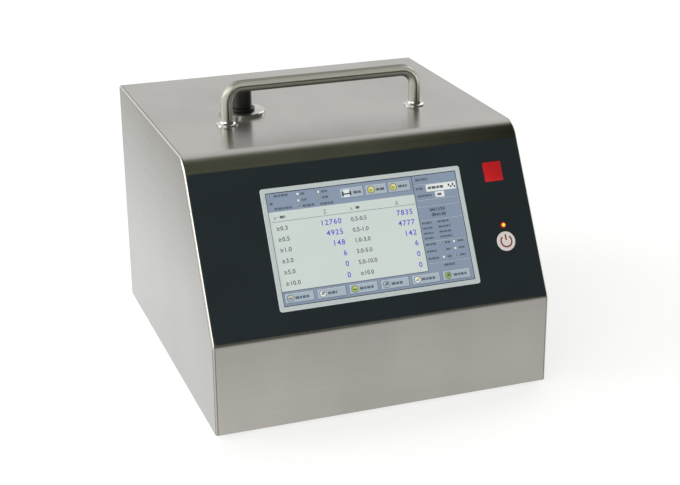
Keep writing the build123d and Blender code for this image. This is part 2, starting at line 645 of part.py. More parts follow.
# ---- carrying handle -----------------------------------------------------------------------------
def handle_bar():
    """Round rod bent twice, with a tapped hole up each leg."""
    half = HANDLE_SPAN / 2
    grip = CASE_TOP + HANDLE_RISE
    corners_xz = [(-half, CASE_TOP), (-half, grip), (half, grip), (half, CASE_TOP)]
    path = FilletPolyline(*[(x, HANDLE_Y, z) for x, z in corners_xz], radius=HANDLE_BEND_RADIUS)
    start = Plane(origin=(-half, HANDLE_Y, CASE_TOP), z_dir=(0, 0, 1))
    bar = sweep(start * Circle(HANDLE_ROD_RADIUS), path=path)
    for side in (-1, 1):
        tapped = Cylinder(M4_RADIUS + THREAD_CLEARANCE, HANDLE_TAP_DEPTH, align=LOW)
        bar -= Pos(side * half, HANDLE_Y, CASE_TOP) * tapped
    return bar


def handle_collar():
    """Flared ring round the foot of a leg."""
    bore = HANDLE_ROD_RADIUS + FIT_GAP
    waist = bore + COLLAR_LIP
    outline = [Line((bore, 0), (COLLAR_RADIUS, 0)),
               Line((COLLAR_RADIUS, 0), (COLLAR_RADIUS, COLLAR_LIP)),
               RadiusArc((COLLAR_RADIUS, COLLAR_LIP), (waist, COLLAR_HEIGHT), COLLAR_SWEEP),
               Line((waist, COLLAR_HEIGHT), (bore, COLLAR_HEIGHT)),
               Line((bore, COLLAR_HEIGHT), (bore, 0))]
    return revolve(Plane.XZ * make_face(Curve() + outline), axis=Axis.Z)


def build_handle():
    """Handle, collars and the screws that hold it from inside."""
    keep("handle_bar", handle_bar())
    half = HANDLE_SPAN / 2
    keep("handle_collars", *[Pos(side * half, HANDLE_Y, CASE_TOP) * handle_collar() for side in (-1, 1)])
    washer = ring(M4_HEAD_RADIUS + WASHER_RIM, M4_RADIUS + SCREW_CLEARANCE, WASHER_THICKNESS)
    washer_seats = [Pos(side * half, HANDLE_Y, CEILING - WASHER_THICKNESS) for side in (-1, 1)]
    keep("handle_washers", *[seat * washer for seat in washer_seats])
    shank = WASHER_THICKNESS + SHEET + HANDLE_TAP_DEPTH - HANDLE_TAP_RESERVE
    bolt = Rot(180, 0, 0) * screw(M4_RADIUS, shank, M4_HEAD_RADIUS, M4_HEAD_HEIGHT)
    keep("handle_screws", *[seat * bolt for seat in washer_seats])


# ---- sloping control face ------------------------------------------------------------------------
def panel_overlay():
    """Thin dark cover of the sloping face, with its window and holes."""
    overlay = slab(OVERLAY_WIDTH, OVERLAY_HEIGHT, OVERLAY_THICKNESS, OVERLAY_CORNER)
    overlay = Pos(0, OVERLAY_FOOT + OVERLAY_HEIGHT / 2, 0) * overlay
    window_width = BEZEL_WIDTH + 2 * FIT_GAP
    window_height = BEZEL_HEIGHT + 2 * FIT_GAP
    window = slab(window_width, window_height, OVERLAY_THICKNESS, BEZEL_CORNER + FIT_GAP)
    overlay -= Pos(0, SCREEN_V, 0) * window
    overlay -= Pos(BUTTON_U, BUTTON_V, 0) * Cylinder(BUTTON_RADIUS + HOLE_GAP, OVERLAY_THICKNESS, align=LOW)
    overlay -= Pos(BUTTON_U, LED_V, 0) * Cylinder(LED_RADIUS + FIT_GAP, OVERLAY_THICKNESS, align=LOW)
    return on_face(0, 0, 0, overlay)


def screen_bezel():
    """White frame that stands a little proud of the overlay and necks down through the steel."""
    flange = slab(BEZEL_WIDTH, BEZEL_HEIGHT, BEZEL_FRONT, BEZEL_CORNER)
    flange = fillet(flange.faces().sort_by(Axis.Z)[-1].edges(), BEZEL_ROUND)
    neck = slab(NECK_WIDTH, NECK_HEIGHT, SHEET, BEZEL_CORNER, HIGH)
    opening = Box(SCREEN_WIDTH, SCREEN_HEIGHT, BEZEL_FRONT, align=LOW)
    glass_seat_width = SCREEN_WIDTH + 2 * (GLASS_OVERLAP + FIT_GAP)
    glass_seat_height = SCREEN_HEIGHT + 2 * (GLASS_OVERLAP + FIT_GAP)
    seat = Box(glass_seat_width, glass_seat_height, GLASS_FRONT + SHEET, align=HIGH)
    seat = Pos(0, 0, GLASS_FRONT) * seat
    return on_face(0, SCREEN_V, 0, flange + neck - opening - seat)


def touch_glass():
    """Touch-sensitive pane behind the bezel's lip."""
    width = SCREEN_WIDTH + 2 * GLASS_OVERLAP
    height = SCREEN_HEIGHT + 2 * GLASS_OVERLAP
    return on_face(0, SCREEN_V, GLASS_FRONT, Box(width, height, GLASS_THICKNESS, align=HIGH))


def lcd_module():
    """Display module clamped against the steel's back, with its sight area a step down."""
    module = slab(LCD_WIDTH, LCD_HEIGHT, LCD_THICKNESS, LCD_CORNER, HIGH)
    sight = Box(SCREEN_WIDTH, SCREEN_HEIGHT, LCD_SIGHT_DEPTH, align=HIGH)
    return on_face(0, SCREEN_V, BEHIND, module - sight)


def display_bracket():
    """Clamp frame behind the display, cut away in the middle and held on the studs."""
    width = LCD_WIDTH + 2 * BRACKET_BORDER
    height = LCD_HEIGHT + 2 * BRACKET_BORDER
    frame = slab(width, height, BRACKET_SHEET, BRACKET_BORDER / 2)
    clear_width = width - 6 * BRACKET_BORDER
    clear_height = height - 6 * BRACKET_BORDER
    frame -= slab(clear_width, clear_height, BRACKET_SHEET, BRACKET_BORDER)
    for u, v in corners(STUD_U, STUD_V):
        frame -= Pos(u, v, 0) * Cylinder(STUD_RADIUS + SCREW_CLEARANCE, BRACKET_SHEET, align=LOW)
    return on_face(0, SCREEN_V, BRACKET_BACK, frame)


def power_button():
    """Round key with a skirt that stops it behind the steel and a stem that reaches the switch."""
    proud = OVERLAY_THICKNESS + BUTTON_PROUD
    cap = Cylinder(BUTTON_RADIUS, proud - BEHIND, align=LOW)
    cap = fillet(cap.edges().sort_by(Axis.Z)[-1], BUTTON_ROUND)
    skirt = Cylinder(BUTTON_RADIUS + BUTTON_SKIRT_RIM, BUTTON_SKIRT, align=HIGH)
    stem = Cylinder(BUTTON_STEM_RADIUS, BEHIND - SWITCH_FRONT + BUTTON_STEM_ENTRY, align=HIGH)
    return on_face(BUTTON_U, BUTTON_V, BEHIND, cap + skirt + stem)


def button_switch():
    """Tact switch on the key board, open in the middle for the key's stem."""
    body = slab(SWITCH_SIZE, SWITCH_SIZE, SWITCH_HEIGHT, SWITCH_CORNER)
    well_depth = BUTTON_TRAVEL + 2 * BUTTON_STEM_ENTRY
    well = Pos(0, 0, SWITCH_HEIGHT) * Cylinder(BUTTON_STEM_RADIUS + HOLE_GAP, well_depth, align=HIGH)
    return on_face(BUTTON_U, BUTTON_V, KEY_BOARD_FRONT, body - well)


def power_led():
    """Domed light guide that stands on the key board and shows through the overlay."""
    length = OVERLAY_THICKNESS - KEY_BOARD_FRONT
    guide = Cylinder(LED_RADIUS, length, align=LOW) + Pos(0, 0, length) * Sphere(LED_RADIUS)
    keep_zone = Cylinder(2 * LED_RADIUS, length + LED_DOME, align=LOW)
    return on_face(BUTTON_U, LED_V, KEY_BOARD_FRONT, guide & keep_zone)


def key_board():
    """Small circuit board behind the key and the lamp."""
    middle = (BUTTON_V + LED_V) / 2
    board = slab(KEY_BOARD_WIDTH, KEY_BOARD_HEIGHT, BOARD_THICKNESS, BOARD_CORNER, HIGH)
    board = Pos(BUTTON_U, middle, 0) * board
    for u, v in key_stud_places():
        board -= Pos(u, v, 0) * Cylinder(STUD_RADIUS + SCREW_CLEARANCE, BOARD_THICKNESS, align=HIGH)
    return on_face(0, 0, KEY_BOARD_FRONT, board)


def build_control_face():
    """Everything that lies on or behind the sloping face."""
    keep("panel_overlay", panel_overlay())
    keep("screen_bezel", screen_bezel())
    keep("touch_glass", touch_glass())
    keep("lcd_module", lcd_module())
    keep("display_bracket", display_bracket())
    keep("power_button", power_button())
    keep("button_switch", button_switch())
    keep("power_led", power_led())
    keep("key_board", key_board())
    sleeve = ring(NUT_RADIUS, STUD_RADIUS + THREAD_CLEARANCE, KEY_BOARD_STANDOFF)
    sleeve = Pos(0, 0, -KEY_BOARD_STANDOFF) * sleeve
    keep("key_board_sleeves", *[on_face(u, v, BEHIND, sleeve) for u, v in key_stud_places()])


# ---- sampling inlet and sensor -------------------------------------------------------------------
def barb_points(radius, top):
    """Profile points of two hose barbs, from the tip down to the plain part of the tail."""
    waist = radius - BARB_DEPTH
    second = top - BARB_PITCH
    return [(waist, top), (radius, top - BARB_LENGTH), (waist, top - BARB_LENGTH),
            (waist, second), (radius, second - BARB_LENGTH)]


def inlet_fitting():
    """Turned inlet: barbed nozzle, wide flange, threaded stem and hose spigot, bored right through."""
    flange_top = INLET_FLANGE_HEIGHT
    nozzle_top = flange_top + NOZZLE_HEIGHT
    spigot_end = -STEM_LENGTH - SPIGOT_LENGTH
    points = [(NOZZLE_BORE, nozzle_top)] + barb_points(NOZZLE_RADIUS, nozzle_top)
    points += [(NOZZLE_RADIUS, flange_top), (INLET_FLANGE_RADIUS - INLET_FLANGE_BEVEL, flange_top),
               (INLET_FLANGE_RADIUS, flange_top - INLET_FLANGE_BEVEL), (INLET_FLANGE_RADIUS, 0),
               (STEM_RADIUS, 0), (STEM_RADIUS, -STEM_LENGTH), (NOZZLE_RADIUS, -STEM_LENGTH),
               (NOZZLE_RADIUS, spigot_end), (NOZZLE_BORE, spigot_end)]
    profile = Polyline(*points, close=True)
    return Pos(INLET_X, INLET_Y, CASE_TOP) * revolve(Plane.XZ * make_face(profile), axis=Axis.Z)


def inlet_cap():
    """Push-on dust cap with a grip foot, hollow over the nozzle."""
    bore = NOZZLE_RADIUS + CAP_GAP
    profile = Polyline((bore, 0), (CAP_FOOT_RADIUS, 0), (CAP_FOOT_RADIUS, CAP_FOOT_HEIGHT),
                       (CAP_RADIUS, CAP_FOOT_HEIGHT), (CAP_RADIUS, CAP_HEIGHT), (0, CAP_HEIGHT),
                       (0, CAP_HEIGHT - CAP_ROOF), (bore, CAP_HEIGHT - CAP_ROOF), close=True)
    cap = revolve(Plane.XZ * make_face(profile), axis=Axis.Z)
    rims = cap.edges().filter_by(GeomType.CIRCLE)
    cap = fillet(rims.filter_by(lambda e: abs(e.center().Z - CAP_HEIGHT) < TOUCH), CAP_ROUND)
    foot_rims = cap.edges().filter_by(GeomType.CIRCLE)
    cap = chamfer(foot_rims.filter_by(lambda e: abs(e.radius - CAP_FOOT_RADIUS) < TOUCH), CAP_FOOT_BEVEL)
    return Pos(INLET_X, INLET_Y, CASE_TOP + INLET_FLANGE_HEIGHT) * cap


def hose(length, inner_radius):
    """A straight piece of soft tubing standing on z = 0."""
    return ring(inner_radius + HOSE_WALL, inner_radius, length)


def spigot(length):
    """A short hose tail standing on z = 0, bored through."""
    return ring(SPIGOT_RADIUS, SPIGOT_BORE, length)


def sensor_stand():
    """Folded stand under the sensor: a shelf on two legs with feet turned out."""
    half = SENSOR_SIZE / 2
    thick = SENSOR_STAND_SHEET
    toe = FLANGE_WIDTH
    height = SENSOR_STAND_HEIGHT
    points = [(-half - toe, 0), (-half, 0), (-half, height - thick), (half, height - thick), (half, 0),
              (half + toe, 0), (half + toe, thick), (half + thick, thick), (half + thick, height),
              (-half - thick, height), (-half - thick, thick), (-half - toe, thick)]
    section = make_face(Polyline(*points, close=True))
    stand = extrude(Plane.YZ * section, amount=half, both=True)
    for x, y in corners(half - toe, half + toe / 2 + thick / 2):
        stand -= Pos(x, y, 0) * Cylinder(M3_RADIUS + SCREW_CLEARANCE, thick, align=LOW)
    return Pos(INLET_X, INLET_Y, FLOOR) * stand


def optical_sensor():
    """Machined measuring chamber: sample path straight down, light path across it, outlet at the side."""
    block = Box(SENSOR_SIZE, SENSOR_SIZE, SENSOR_HEIGHT, align=LOW)
    block = chamfer(block.edges().filter_by(Axis.Z), SENSOR_CHAMFER)
    middle = SUCTION_Z - SENSOR_FLOOR
    block -= Pos(0, 0, middle) * Cylinder(SPIGOT_BORE, SENSOR_HEIGHT, align=LOW)
    block -= Pos(0, 0, middle) * Rot(0, 90, 0) * Cylinder(SPIGOT_BORE, SENSOR_SIZE, align=LOW)
    block += Pos(0, 0, SENSOR_HEIGHT) * ring(NOZZLE_RADIUS, SPIGOT_BORE, SPIGOT_LENGTH)
    block += Pos(SENSOR_SIZE / 2, 0, middle) * Rot(0, 90, 0) * spigot(SPIGOT_LENGTH)
    return Pos(INLET_X, INLET_Y, SENSOR_FLOOR) * block


def laser_module():
    """Finned diode housing on the sensor's left side."""
    barrel = Cylinder(LASER_RADIUS, LASER_LENGTH, align=LOW)
    fin_gap = ring(LASER_RADIUS, LASER_RADIUS - LASER_FIN_DEPTH, LASER_FIN_GAP)
    for z in spread(LASER_FIN_PITCH, LASER_FINS):
        barrel -= Pos(0, 0, LASER_LENGTH / 2 + z) * fin_gap
    place = Pos(INLET_X - SENSOR_SIZE / 2, INLET_Y, SENSOR_FLOOR + LIGHT_HEIGHT)
    return place * Rot(0, -90, 0) * barrel


def detector_module():
    """Photodetector box on the sensor's front side."""
    box = Box(DETECTOR_WIDTH, DETECTOR_DEPTH, DETECTOR_WIDTH, align=(Align.CENTER, Align.MAX, Align.CENTER))
    box = chamfer(box.faces().sort_by(Axis.Y)[0].edges(), DETECTOR_CHAMFER)
    return Pos(INLET_X, INLET_Y - SENSOR_SIZE / 2, SENSOR_FLOOR + LIGHT_HEIGHT) * box


def build_sampling():
    """Inlet, cap, sample hose and optical sensor."""
    keep("inlet_fitting", inlet_fitting())
    keep("inlet_cap", inlet_cap())
    gasket = ring(INLET_NUT_RADIUS, STEM_RADIUS + FIT_GAP, GASKET_THICKNESS)
    keep("inlet_gasket", Pos(INLET_X, INLET_Y, CEILING - GASKET_THICKNESS) * gasket)
    nut_top = CEILING - GASKET_THICKNESS
    nut = hex_nut(INLET_NUT_RADIUS, STEM_RADIUS + THREAD_CLEARANCE, INLET_NUT_HEIGHT)
    keep("inlet_nut", Pos(INLET_X, INLET_Y, nut_top - INLET_NUT_HEIGHT) * nut)
    hose_top = CASE_TOP - STEM_LENGTH - SPIGOT_LENGTH + HOSE_GRIP
    hose_bottom = SENSOR_TOP + SPIGOT_LENGTH - HOSE_GRIP
    sample = hose(hose_top - hose_bottom, NOZZLE_RADIUS + FIT_GAP)
    keep("sample_hose", Pos(INLET_X, INLET_Y, hose_bottom) * sample)
    keep("sensor_stand", sensor_stand())
    keep("optical_sensor", optical_sensor())
    keep("laser_module", laser_module())
    keep("detector_module", detector_module())


# ---- pump, filter and exhaust --------------------------------------------------------------------
def vacuum_pump():
    """Rotary-vane pump head with hose tails at its side and rear."""
    head = Box(PUMP_WIDTH, PUMP_DEPTH, PUMP_HEIGHT, align=LOW)
    head = fillet(head.edges().filter_by(Axis.Y), PUMP_ROUND)
    fin_gap = Box(PUMP_FIN_GAP, PUMP_DEPTH, PUMP_FIN_DEPTH, align=HIGH)
    for x in spread(PUMP_FIN_PITCH, PUMP_FINS):
        head -= Pos(x, 0, PUMP_HEIGHT) * fin_gap
    line = SUCTION_Z - PUMP_FLOOR
    tail = Cylinder(SPIGOT_RADIUS, SPIGOT_LENGTH, align=LOW)
    head += Pos(-PUMP_WIDTH / 2, 0, line) * Rot(0, -90, 0) * tail
    head += Pos(0, PUMP_DEPTH / 2, line) * Rot(-90, 0, 0) * tail
    return Pos(PUMP_X, INLET_Y, PUMP_FLOOR) * head


def pump_motor():
    """Closed motor can in front of the pump head, with a stepped end bell."""
    can = Cylinder(MOTOR_RADIUS, MOTOR_LENGTH, align=LOW)
    can = chamfer(can.edges().sort_by(Axis.Z)[-1], MOTOR_CHAMFER)
    bell = Pos(0, 0, MOTOR_LENGTH) * Cylinder(MOTOR_BELL_RADIUS, MOTOR_BELL, align=LOW)
    return Pos(PUMP_X, INLET_Y - PUMP_DEPTH / 2, MOTOR_Z) * Rot(90, 0, 0) * (can + bell)


def damper_places():
    """Rubber dampers under the pump plate, about its middle."""
    return corners(PUMP_WIDTH / 2 - DAMPER_RADIUS - DAMPER_MARGIN, PUMP_PLATE_DEPTH / 2 - DAMPER_RADIUS)


def pump_plate():
    """Mounting plate under the pump."""
    plate = slab(PUMP_WIDTH, PUMP_PLATE_DEPTH, PUMP_PLATE, PUMP_PLATE_CORNER)
    for x, y in damper_places():
        plate -= Pos(x, y, 0) * Cylinder(M3_RADIUS + SCREW_CLEARANCE, PUMP_PLATE, align=LOW)
    return Pos(PUMP_X, INLET_Y, PUMP_FLOOR - PUMP_PLATE) * plate


def exhaust_filter():
    """Final filter capsule with bevelled ends and two hose tails."""
    body = Cylinder(FILTER_RADIUS, FILTER_LENGTH, align=LOW)
    body = chamfer(body.edges().filter_by(GeomType.CIRCLE), FILTER_BEVEL)
    for base in (0, FILTER_LENGTH):
        direction = HIGH if base == 0 else LOW
        body += Pos(0, 0, base) * Cylinder(SPIGOT_RADIUS, SPIGOT_LENGTH, align=direction)
    return body


def filter_saddle():
    """Moulded cradle that holds the filter above the base plate."""
    drop = SUCTION_Z - FLOOR
    block = Box(2 * (FILTER_RADIUS + SADDLE_WALL), SADDLE_WIDTH, drop, align=LOW)
    block -= Pos(0, 0, drop) * Rot(90, 0, 0) * Cylinder(FILTER_RADIUS + FIT_GAP, 2 * SADDLE_WIDTH)
    window = Box(2 * FILTER_RADIUS, SADDLE_WIDTH, drop - FILTER_RADIUS - 2 * SADDLE_WALL, align=LOW)
    return block - Pos(0, 0, SADDLE_WALL) * window


def exhaust_port():
    """Barbed outlet through the rear panel, shouldered outside and spigoted inside."""
    tail_end = -EXHAUST_STEM - SPIGOT_LENGTH
    bore_end = -EXHAUST_STEM / 2
    points = [(EXHAUST_BORE, EXHAUST_REACH)] + barb_points(EXHAUST_RADIUS, EXHAUST_REACH)
    points += [(EXHAUST_RADIUS, EXHAUST_SHOULDER), (EXHAUST_COLLAR, EXHAUST_SHOULDER), (EXHAUST_COLLAR, 0),
               (EXHAUST_STEM_RADIUS, 0), (EXHAUST_STEM_RADIUS, -EXHAUST_STEM), (SPIGOT_RADIUS, -EXHAUST_STEM),
               (SPIGOT_RADIUS, tail_end), (SPIGOT_BORE, tail_end), (SPIGOT_BORE, bore_end),
               (EXHAUST_BORE, bore_end)]
    profile = Polyline(*points, close=True)
    return on_rear(PUMP_X, SUCTION_Z, 0, revolve(Plane.XZ * make_face(profile), axis=Axis.Z))


def build_pump():
    """Suction side, pump, filter and exhaust, all on one hose line."""
    inner = SPIGOT_RADIUS + FIT_GAP
    suction_start = INLET_X + SENSOR_SIZE / 2 + SPIGOT_LENGTH - HOSE_GRIP
    suction_end = PUMP_X - PUMP_WIDTH / 2 - SPIGOT_LENGTH + HOSE_GRIP
    suction = Rot(0, 90, 0) * hose(suction_end - suction_start, inner)
    keep("suction_hose", Pos(suction_start, INLET_Y, SUCTION_Z) * suction)
    keep("vacuum_pump", vacuum_pump())
    keep("pump_motor", pump_motor())
    keep("pump_plate", pump_plate())
    damper = Cylinder(DAMPER_RADIUS, DAMPER_HEIGHT, align=LOW)
    keep("pump_dampers", *[Pos(PUMP_X + x, INLET_Y + y, FLOOR) * damper for x, y in damper_places()])
    place = Pos(PUMP_X, FILTER_START, SUCTION_Z) * Rot(-90, 0, 0)
    keep("exhaust_filter", place * exhaust_filter())
    keep("filter_saddle", Pos(PUMP_X, FILTER_START + FILTER_LENGTH / 2, FLOOR) * filter_saddle())
    link = Rot(-90, 0, 0) * hose(LINK_GAP + 2 * HOSE_GRIP, inner)
    grip = SPIGOT_LENGTH - HOSE_GRIP
    link_starts = (PUMP_BACK + grip, FILTER_START + FILTER_LENGTH + grip)
    keep("exhaust_hoses", *[Pos(PUMP_X, y, SUCTION_Z) * link for y in link_starts])
    keep("exhaust_port", exhaust_port())
    nut = hex_nut(EXHAUST_NUT_RADIUS, EXHAUST_STEM_RADIUS + THREAD_CLEARANCE, EXHAUST_NUT_HEIGHT)
    keep("exhaust_nut", on_rear(PUMP_X, SUCTION_Z, -SHEET - EXHAUST_NUT_HEIGHT, nut))


# ---- cooling fan ---------------------------------------------------------------------------------
def fan_frame():
    """Square fan body: round throat, four struts and a bearing hub at its inner end."""
    frame = slab(FAN_SIZE, FAN_SIZE, FAN_DEPTH, FAN_CORNER)
    frame -= Cylinder(FAN_THROAT_RADIUS, FAN_DEPTH, align=LOW)
    strut = Box(2 * FAN_THROAT_RADIUS + FAN_STRUT, FAN_STRUT, FAN_STRUT, align=LOW)
    for angle in (45, 135):
        frame += Rot(0, 0, angle) * strut
    frame += Cylinder(FAN_HUB_RADIUS, FAN_STRUT, align=LOW)
    frame += Pos(0, 0, FAN_STRUT) * Cylinder(FAN_BEARING_RADIUS, FAN_BEARING_HEIGHT, align=LOW)
    frame -= Cylinder(FAN_SHAFT_RADIUS + RUNNING_GAP, FAN_DEPTH, align=LOW)
    for x, y in corners(FAN_HOLE_PITCH / 2, FAN_HOLE_PITCH / 2):
        frame -= Pos(x, y, 0) * Cylinder(M3_RADIUS + SCREW_CLEARANCE, FAN_DEPTH, align=LOW)
    return on_rear(FAN_X, FAN_Z, -SHEET - FAN_DEPTH, frame)


def fan_blade(root, tip, low, high):
    """One blade, lofted straight from a steep root section to a flatter tip section."""
    middle = (low + high) / 2
    sections = []
    for radius, pitch in ((root, BLADE_ROOT_PITCH), (tip, BLADE_TIP_PITCH)):
        plane = Plane(origin=(radius, 0, middle), x_dir=(0, 1, 0), z_dir=(1, 0, 0))
        chord = (high - low) / sin(radians(pitch)) - 2 * BLADE_THICKNESS
        sections.append(plane * Rot(0, 0, pitch) * Rectangle(chord, BLADE_THICKNESS))
    return loft(sections, ruled=True)


def fan_rotor():
    """Hub cup with twisted blades and the shaft that turns in the frame's bearing."""
    low = ROTOR_FLOOR
    high = FAN_DEPTH - ROTOR_CLEAR
    cup = Pos(0, 0, low) * Cylinder(FAN_HUB_RADIUS, high - low, align=LOW)
    cup = chamfer(cup.edges().sort_by(Axis.Z)[-1], ROTOR_ROUND)
    rotor = cup + Pos(0, 0, ROTOR_CLEAR) * Cylinder(FAN_SHAFT_RADIUS, low, align=LOW)
    blade = fan_blade(FAN_HUB_RADIUS - BLADE_THICKNESS, FAN_THROAT_RADIUS, low, high)
    for index in range(FAN_BLADES):
        rotor += Rot(0, 0, index * 360 / FAN_BLADES) * blade
    rotor &= Cylinder(FAN_THROAT_RADIUS - FAN_TIP_GAP, FAN_DEPTH, align=LOW)
    return on_rear(FAN_X, FAN_Z, -SHEET - FAN_DEPTH, rotor)


def fan_guard():
    """Wire guard: welded rings on four spokes that end in screw eyes."""
    eye_radius = M3_HEAD_RADIUS + GUARD_EYE_RIM
    reach = FAN_HOLE_PITCH / 2 ** 0.5
    spoke_start = GUARD_INNER_RING
    spoke_length = reach - eye_radius + GUARD_WIRE - spoke_start
    spoke_height = GUARD_WIRE + GUARD_LIFT
    spoke = Pos(spoke_start, 0, spoke_height) * Rot(0, 90, 0) * Cylinder(GUARD_WIRE, spoke_length, align=LOW)
    arm = spoke + Pos(reach, 0, 0) * ring(eye_radius, M3_RADIUS + SCREW_CLEARANCE, GUARD_EYE)
    guard = Part()
    for radius in GUARD_RINGS:
        section = Pos(radius, spoke_height + GUARD_WIRE) * RegularPolygon(GUARD_WIRE, 6)
        guard += revolve(Plane.XZ * section, axis=Axis.Z)
    for angle in (45, 135, 225, 315):
        guard += Rot(0, 0, angle) * arm
    return on_rear(FAN_X, FAN_Z, 0, guard)


def build_fan():
    """Fan, guard and their through screws."""
    keep("fan_frame", fan_frame())
    keep("fan_rotor", fan_rotor())
    keep("fan_guard", fan_guard())
    places = [(FAN_X + x, FAN_Z + z) for x, z in corners(FAN_HOLE_PITCH / 2, FAN_HOLE_PITCH / 2)]
    grip = GUARD_EYE + SHEET + FAN_DEPTH
    bolt = screw(M3_RADIUS, grip + NUT_HEIGHT, M3_HEAD_RADIUS, M3_HEAD_HEIGHT)
    keep("fan_screws", *[on_rear(x, z, GUARD_EYE, bolt) for x, z in places])


# ---- rear services -------------------------------------------------------------------------------
def mains_inlet():
    """Three-pin mains inlet with a screw flange, keyed cavity and recessed pins."""
    body_width = SOCKET_WIDTH + 2 * SOCKET_WALL
    body_height = SOCKET_HEIGHT + 2 * SOCKET_WALL
    body_depth = SOCKET_DEPTH + SOCKET_BACK
    flange = slab(SOCKET_FLANGE_WIDTH, SOCKET_FLANGE_HEIGHT, SOCKET_FLANGE, SOCKET_FLANGE_CORNER)
    body = Pos(0, 0, SOCKET_FLANGE) * Box(body_width, body_height, body_depth, align=HIGH)
    cavity = Pos(0, 0, SOCKET_FLANGE) * Box(SOCKET_WIDTH, SOCKET_HEIGHT, SOCKET_DEPTH, align=HIGH)
    keyed = cavity.edges().filter_by(Axis.Z).sort_by(Axis.Y)[-2:]
    cavity = chamfer(keyed, SOCKET_KEY)
    inlet = flange + body - cavity
    floor = SOCKET_FLANGE - SOCKET_DEPTH
    pin = Box(PIN_WIDTH, PIN_HEIGHT, SOCKET_DEPTH - PIN_RECESS, align=LOW)
    tag = Box(TAG_WIDTH, TAG_HEIGHT, TAG_LENGTH, align=HIGH)
    for x, y in ((-PIN_PITCH, -PIN_STAGGER), (0, PIN_STAGGER), (PIN_PITCH, -PIN_STAGGER)):
        inlet += Pos(x, y, floor) * pin
        inlet += Pos(x, y, SOCKET_FLANGE - body_depth) * tag
    for x in spread(SOCKET_SCREW_PITCH, 2):
        inlet -= Pos(x, 0, 0) * Cylinder(M3_RADIUS + SCREW_CLEARANCE, SOCKET_FLANGE, align=LOW)
    return on_rear(MAINS_X, INLET_SOCKET_Z, 0, inlet)


def rocker_housing():
    """Panel-mounted switch body with the well that the rocker tilts in."""
    rim = 2 * (ROCKER_FLANGE_LAP + FIT_GAP)
    flange = slab(ROCKER_FLANGE_WIDTH, ROCKER_FLANGE_HEIGHT, ROCKER_FLANGE, ROCKER_FLANGE_CORNER)
    flange = chamfer(flange.faces().sort_by(Axis.Z)[-1].edges(), ROCKER_FLANGE_BEVEL)
    body = Box(ROCKER_FLANGE_WIDTH - rim, ROCKER_FLANGE_HEIGHT - rim, ROCKER_BODY_DEPTH, align=HIGH)
    well_length = ROCKER_LENGTH + 2 * ROCKER_END_GAP
    well_width = ROCKER_WIDTH + 2 * HOLE_GAP
    well = Box(well_width, well_length, ROCKER_FLANGE + ROCKER_WELL, align=HIGH)
    housing = flange + body - Pos(0, 0, ROCKER_FLANGE) * well
    bore_length = ROCKER_WIDTH + 2 * (TRUNNION_REACH + TRUNNION_END_GAP)
    bore = Rot(0, 90, 0) * Cylinder(TRUNNION_RADIUS + RUNNING_GAP, bore_length)
    housing -= Pos(0, 0, -PIVOT_DEPTH) * bore
    tag = Box(TAG_HEIGHT, TAG_WIDTH, TAG_LENGTH, align=HIGH)
    for y in spread(ROCKER_TAG_PITCH, 3):
        housing += Pos(0, y, -ROCKER_BODY_DEPTH) * tag
    return on_rear(MAINS_X, ROCKER_Z, 0, housing)


def mains_rocker():
    """Rocker with two shallow hollows and side trunnions, at rest on its lower stop."""
    half = ROCKER_LENGTH / 2
    high = ROCKER_CROWN
    low = -ROCKER_UNDER
    dished = high - ROCKER_DISH
    outline = [Line((-half, low), (half, low)), Line((half, low), (half, high)),
               RadiusArc((half, high), (0, dished), ROCKER_DISH_RADIUS),
               RadiusArc((0, dished), (-half, high), ROCKER_DISH_RADIUS),
               Line((-half, high), (-half, low))]
    side_plane = Plane(origin=(0, 0, 0), x_dir=(0, 1, 0), z_dir=(1, 0, 0))
    section = side_plane * make_face(Curve() + outline)
    rocker = extrude(section, amount=ROCKER_WIDTH / 2, both=True)
    rocker += Rot(0, 90, 0) * Cylinder(TRUNNION_RADIUS, ROCKER_WIDTH + 2 * TRUNNION_REACH)
    return on_rear(MAINS_X, ROCKER_Z, -PIVOT_DEPTH, Rot(ROCKER_TILT, 0, 0) * rocker)


def network_port():
    """Shielded network socket with its latch step."""
    shell = Box(NETWORK_WIDTH, NETWORK_HEIGHT, NETWORK_DEPTH, align=HIGH)
    shell -= Pos(0, -JACK_DROP, 0) * Box(JACK_WIDTH, JACK_HEIGHT, JACK_DEPTH, align=HIGH)
    shell -= Pos(0, LATCH_RISE, 0) * Box(LATCH_WIDTH, LATCH_HEIGHT, JACK_DEPTH, align=HIGH)
    return on_rear(NETWORK_X, NETWORK_Z, NETWORK_PROUD, shell)


def serial_shell(depth, grow, align):
    """The D shape of the serial connector, grown on request."""
    half = SERIAL_WIDTH / 2 + grow
    tall = SERIAL_HEIGHT / 2 + grow
    foot_half = half - SERIAL_TAPER
    outline = Polyline((-half, tall), (half, tall), (foot_half, -tall), (-foot_half, -tall), close=True)
    face = fillet(make_face(outline).vertices(), SERIAL_ROUND)
    solid = extrude(face, amount=depth)
    return solid if align is LOW else Pos(0, 0, -depth) * solid


def serial_port():
    """Nine-way D connector, seen as its shell, insulator and flange."""
    shell = serial_shell(SERIAL_REACH, 0, LOW)
    flange = Box(SERIAL_FLANGE_WIDTH, SERIAL_FLANGE_HEIGHT, SERIAL_FLANGE_SHEET, align=HIGH)
    body_width = SERIAL_WIDTH + 2 * SERIAL_BODY_RIM
    body = Box(body_width, SERIAL_FLANGE_HEIGHT, SERIAL_FLANGE_SHEET + SERIAL_BODY_DEPTH, align=HIGH)
    port = Pos(0, 0, -SHEET) * (shell + flange + body)
    for x in spread(SERIAL_SCREW_PITCH, 2):
        port -= Pos(x, 0, 0) * Cylinder(M3_RADIUS + THREAD_CLEARANCE, SHEET + SERIAL_FLANGE_SHEET, align=HIGH)
    return on_rear(SERIAL_X, SERIAL_Z, 0, port)


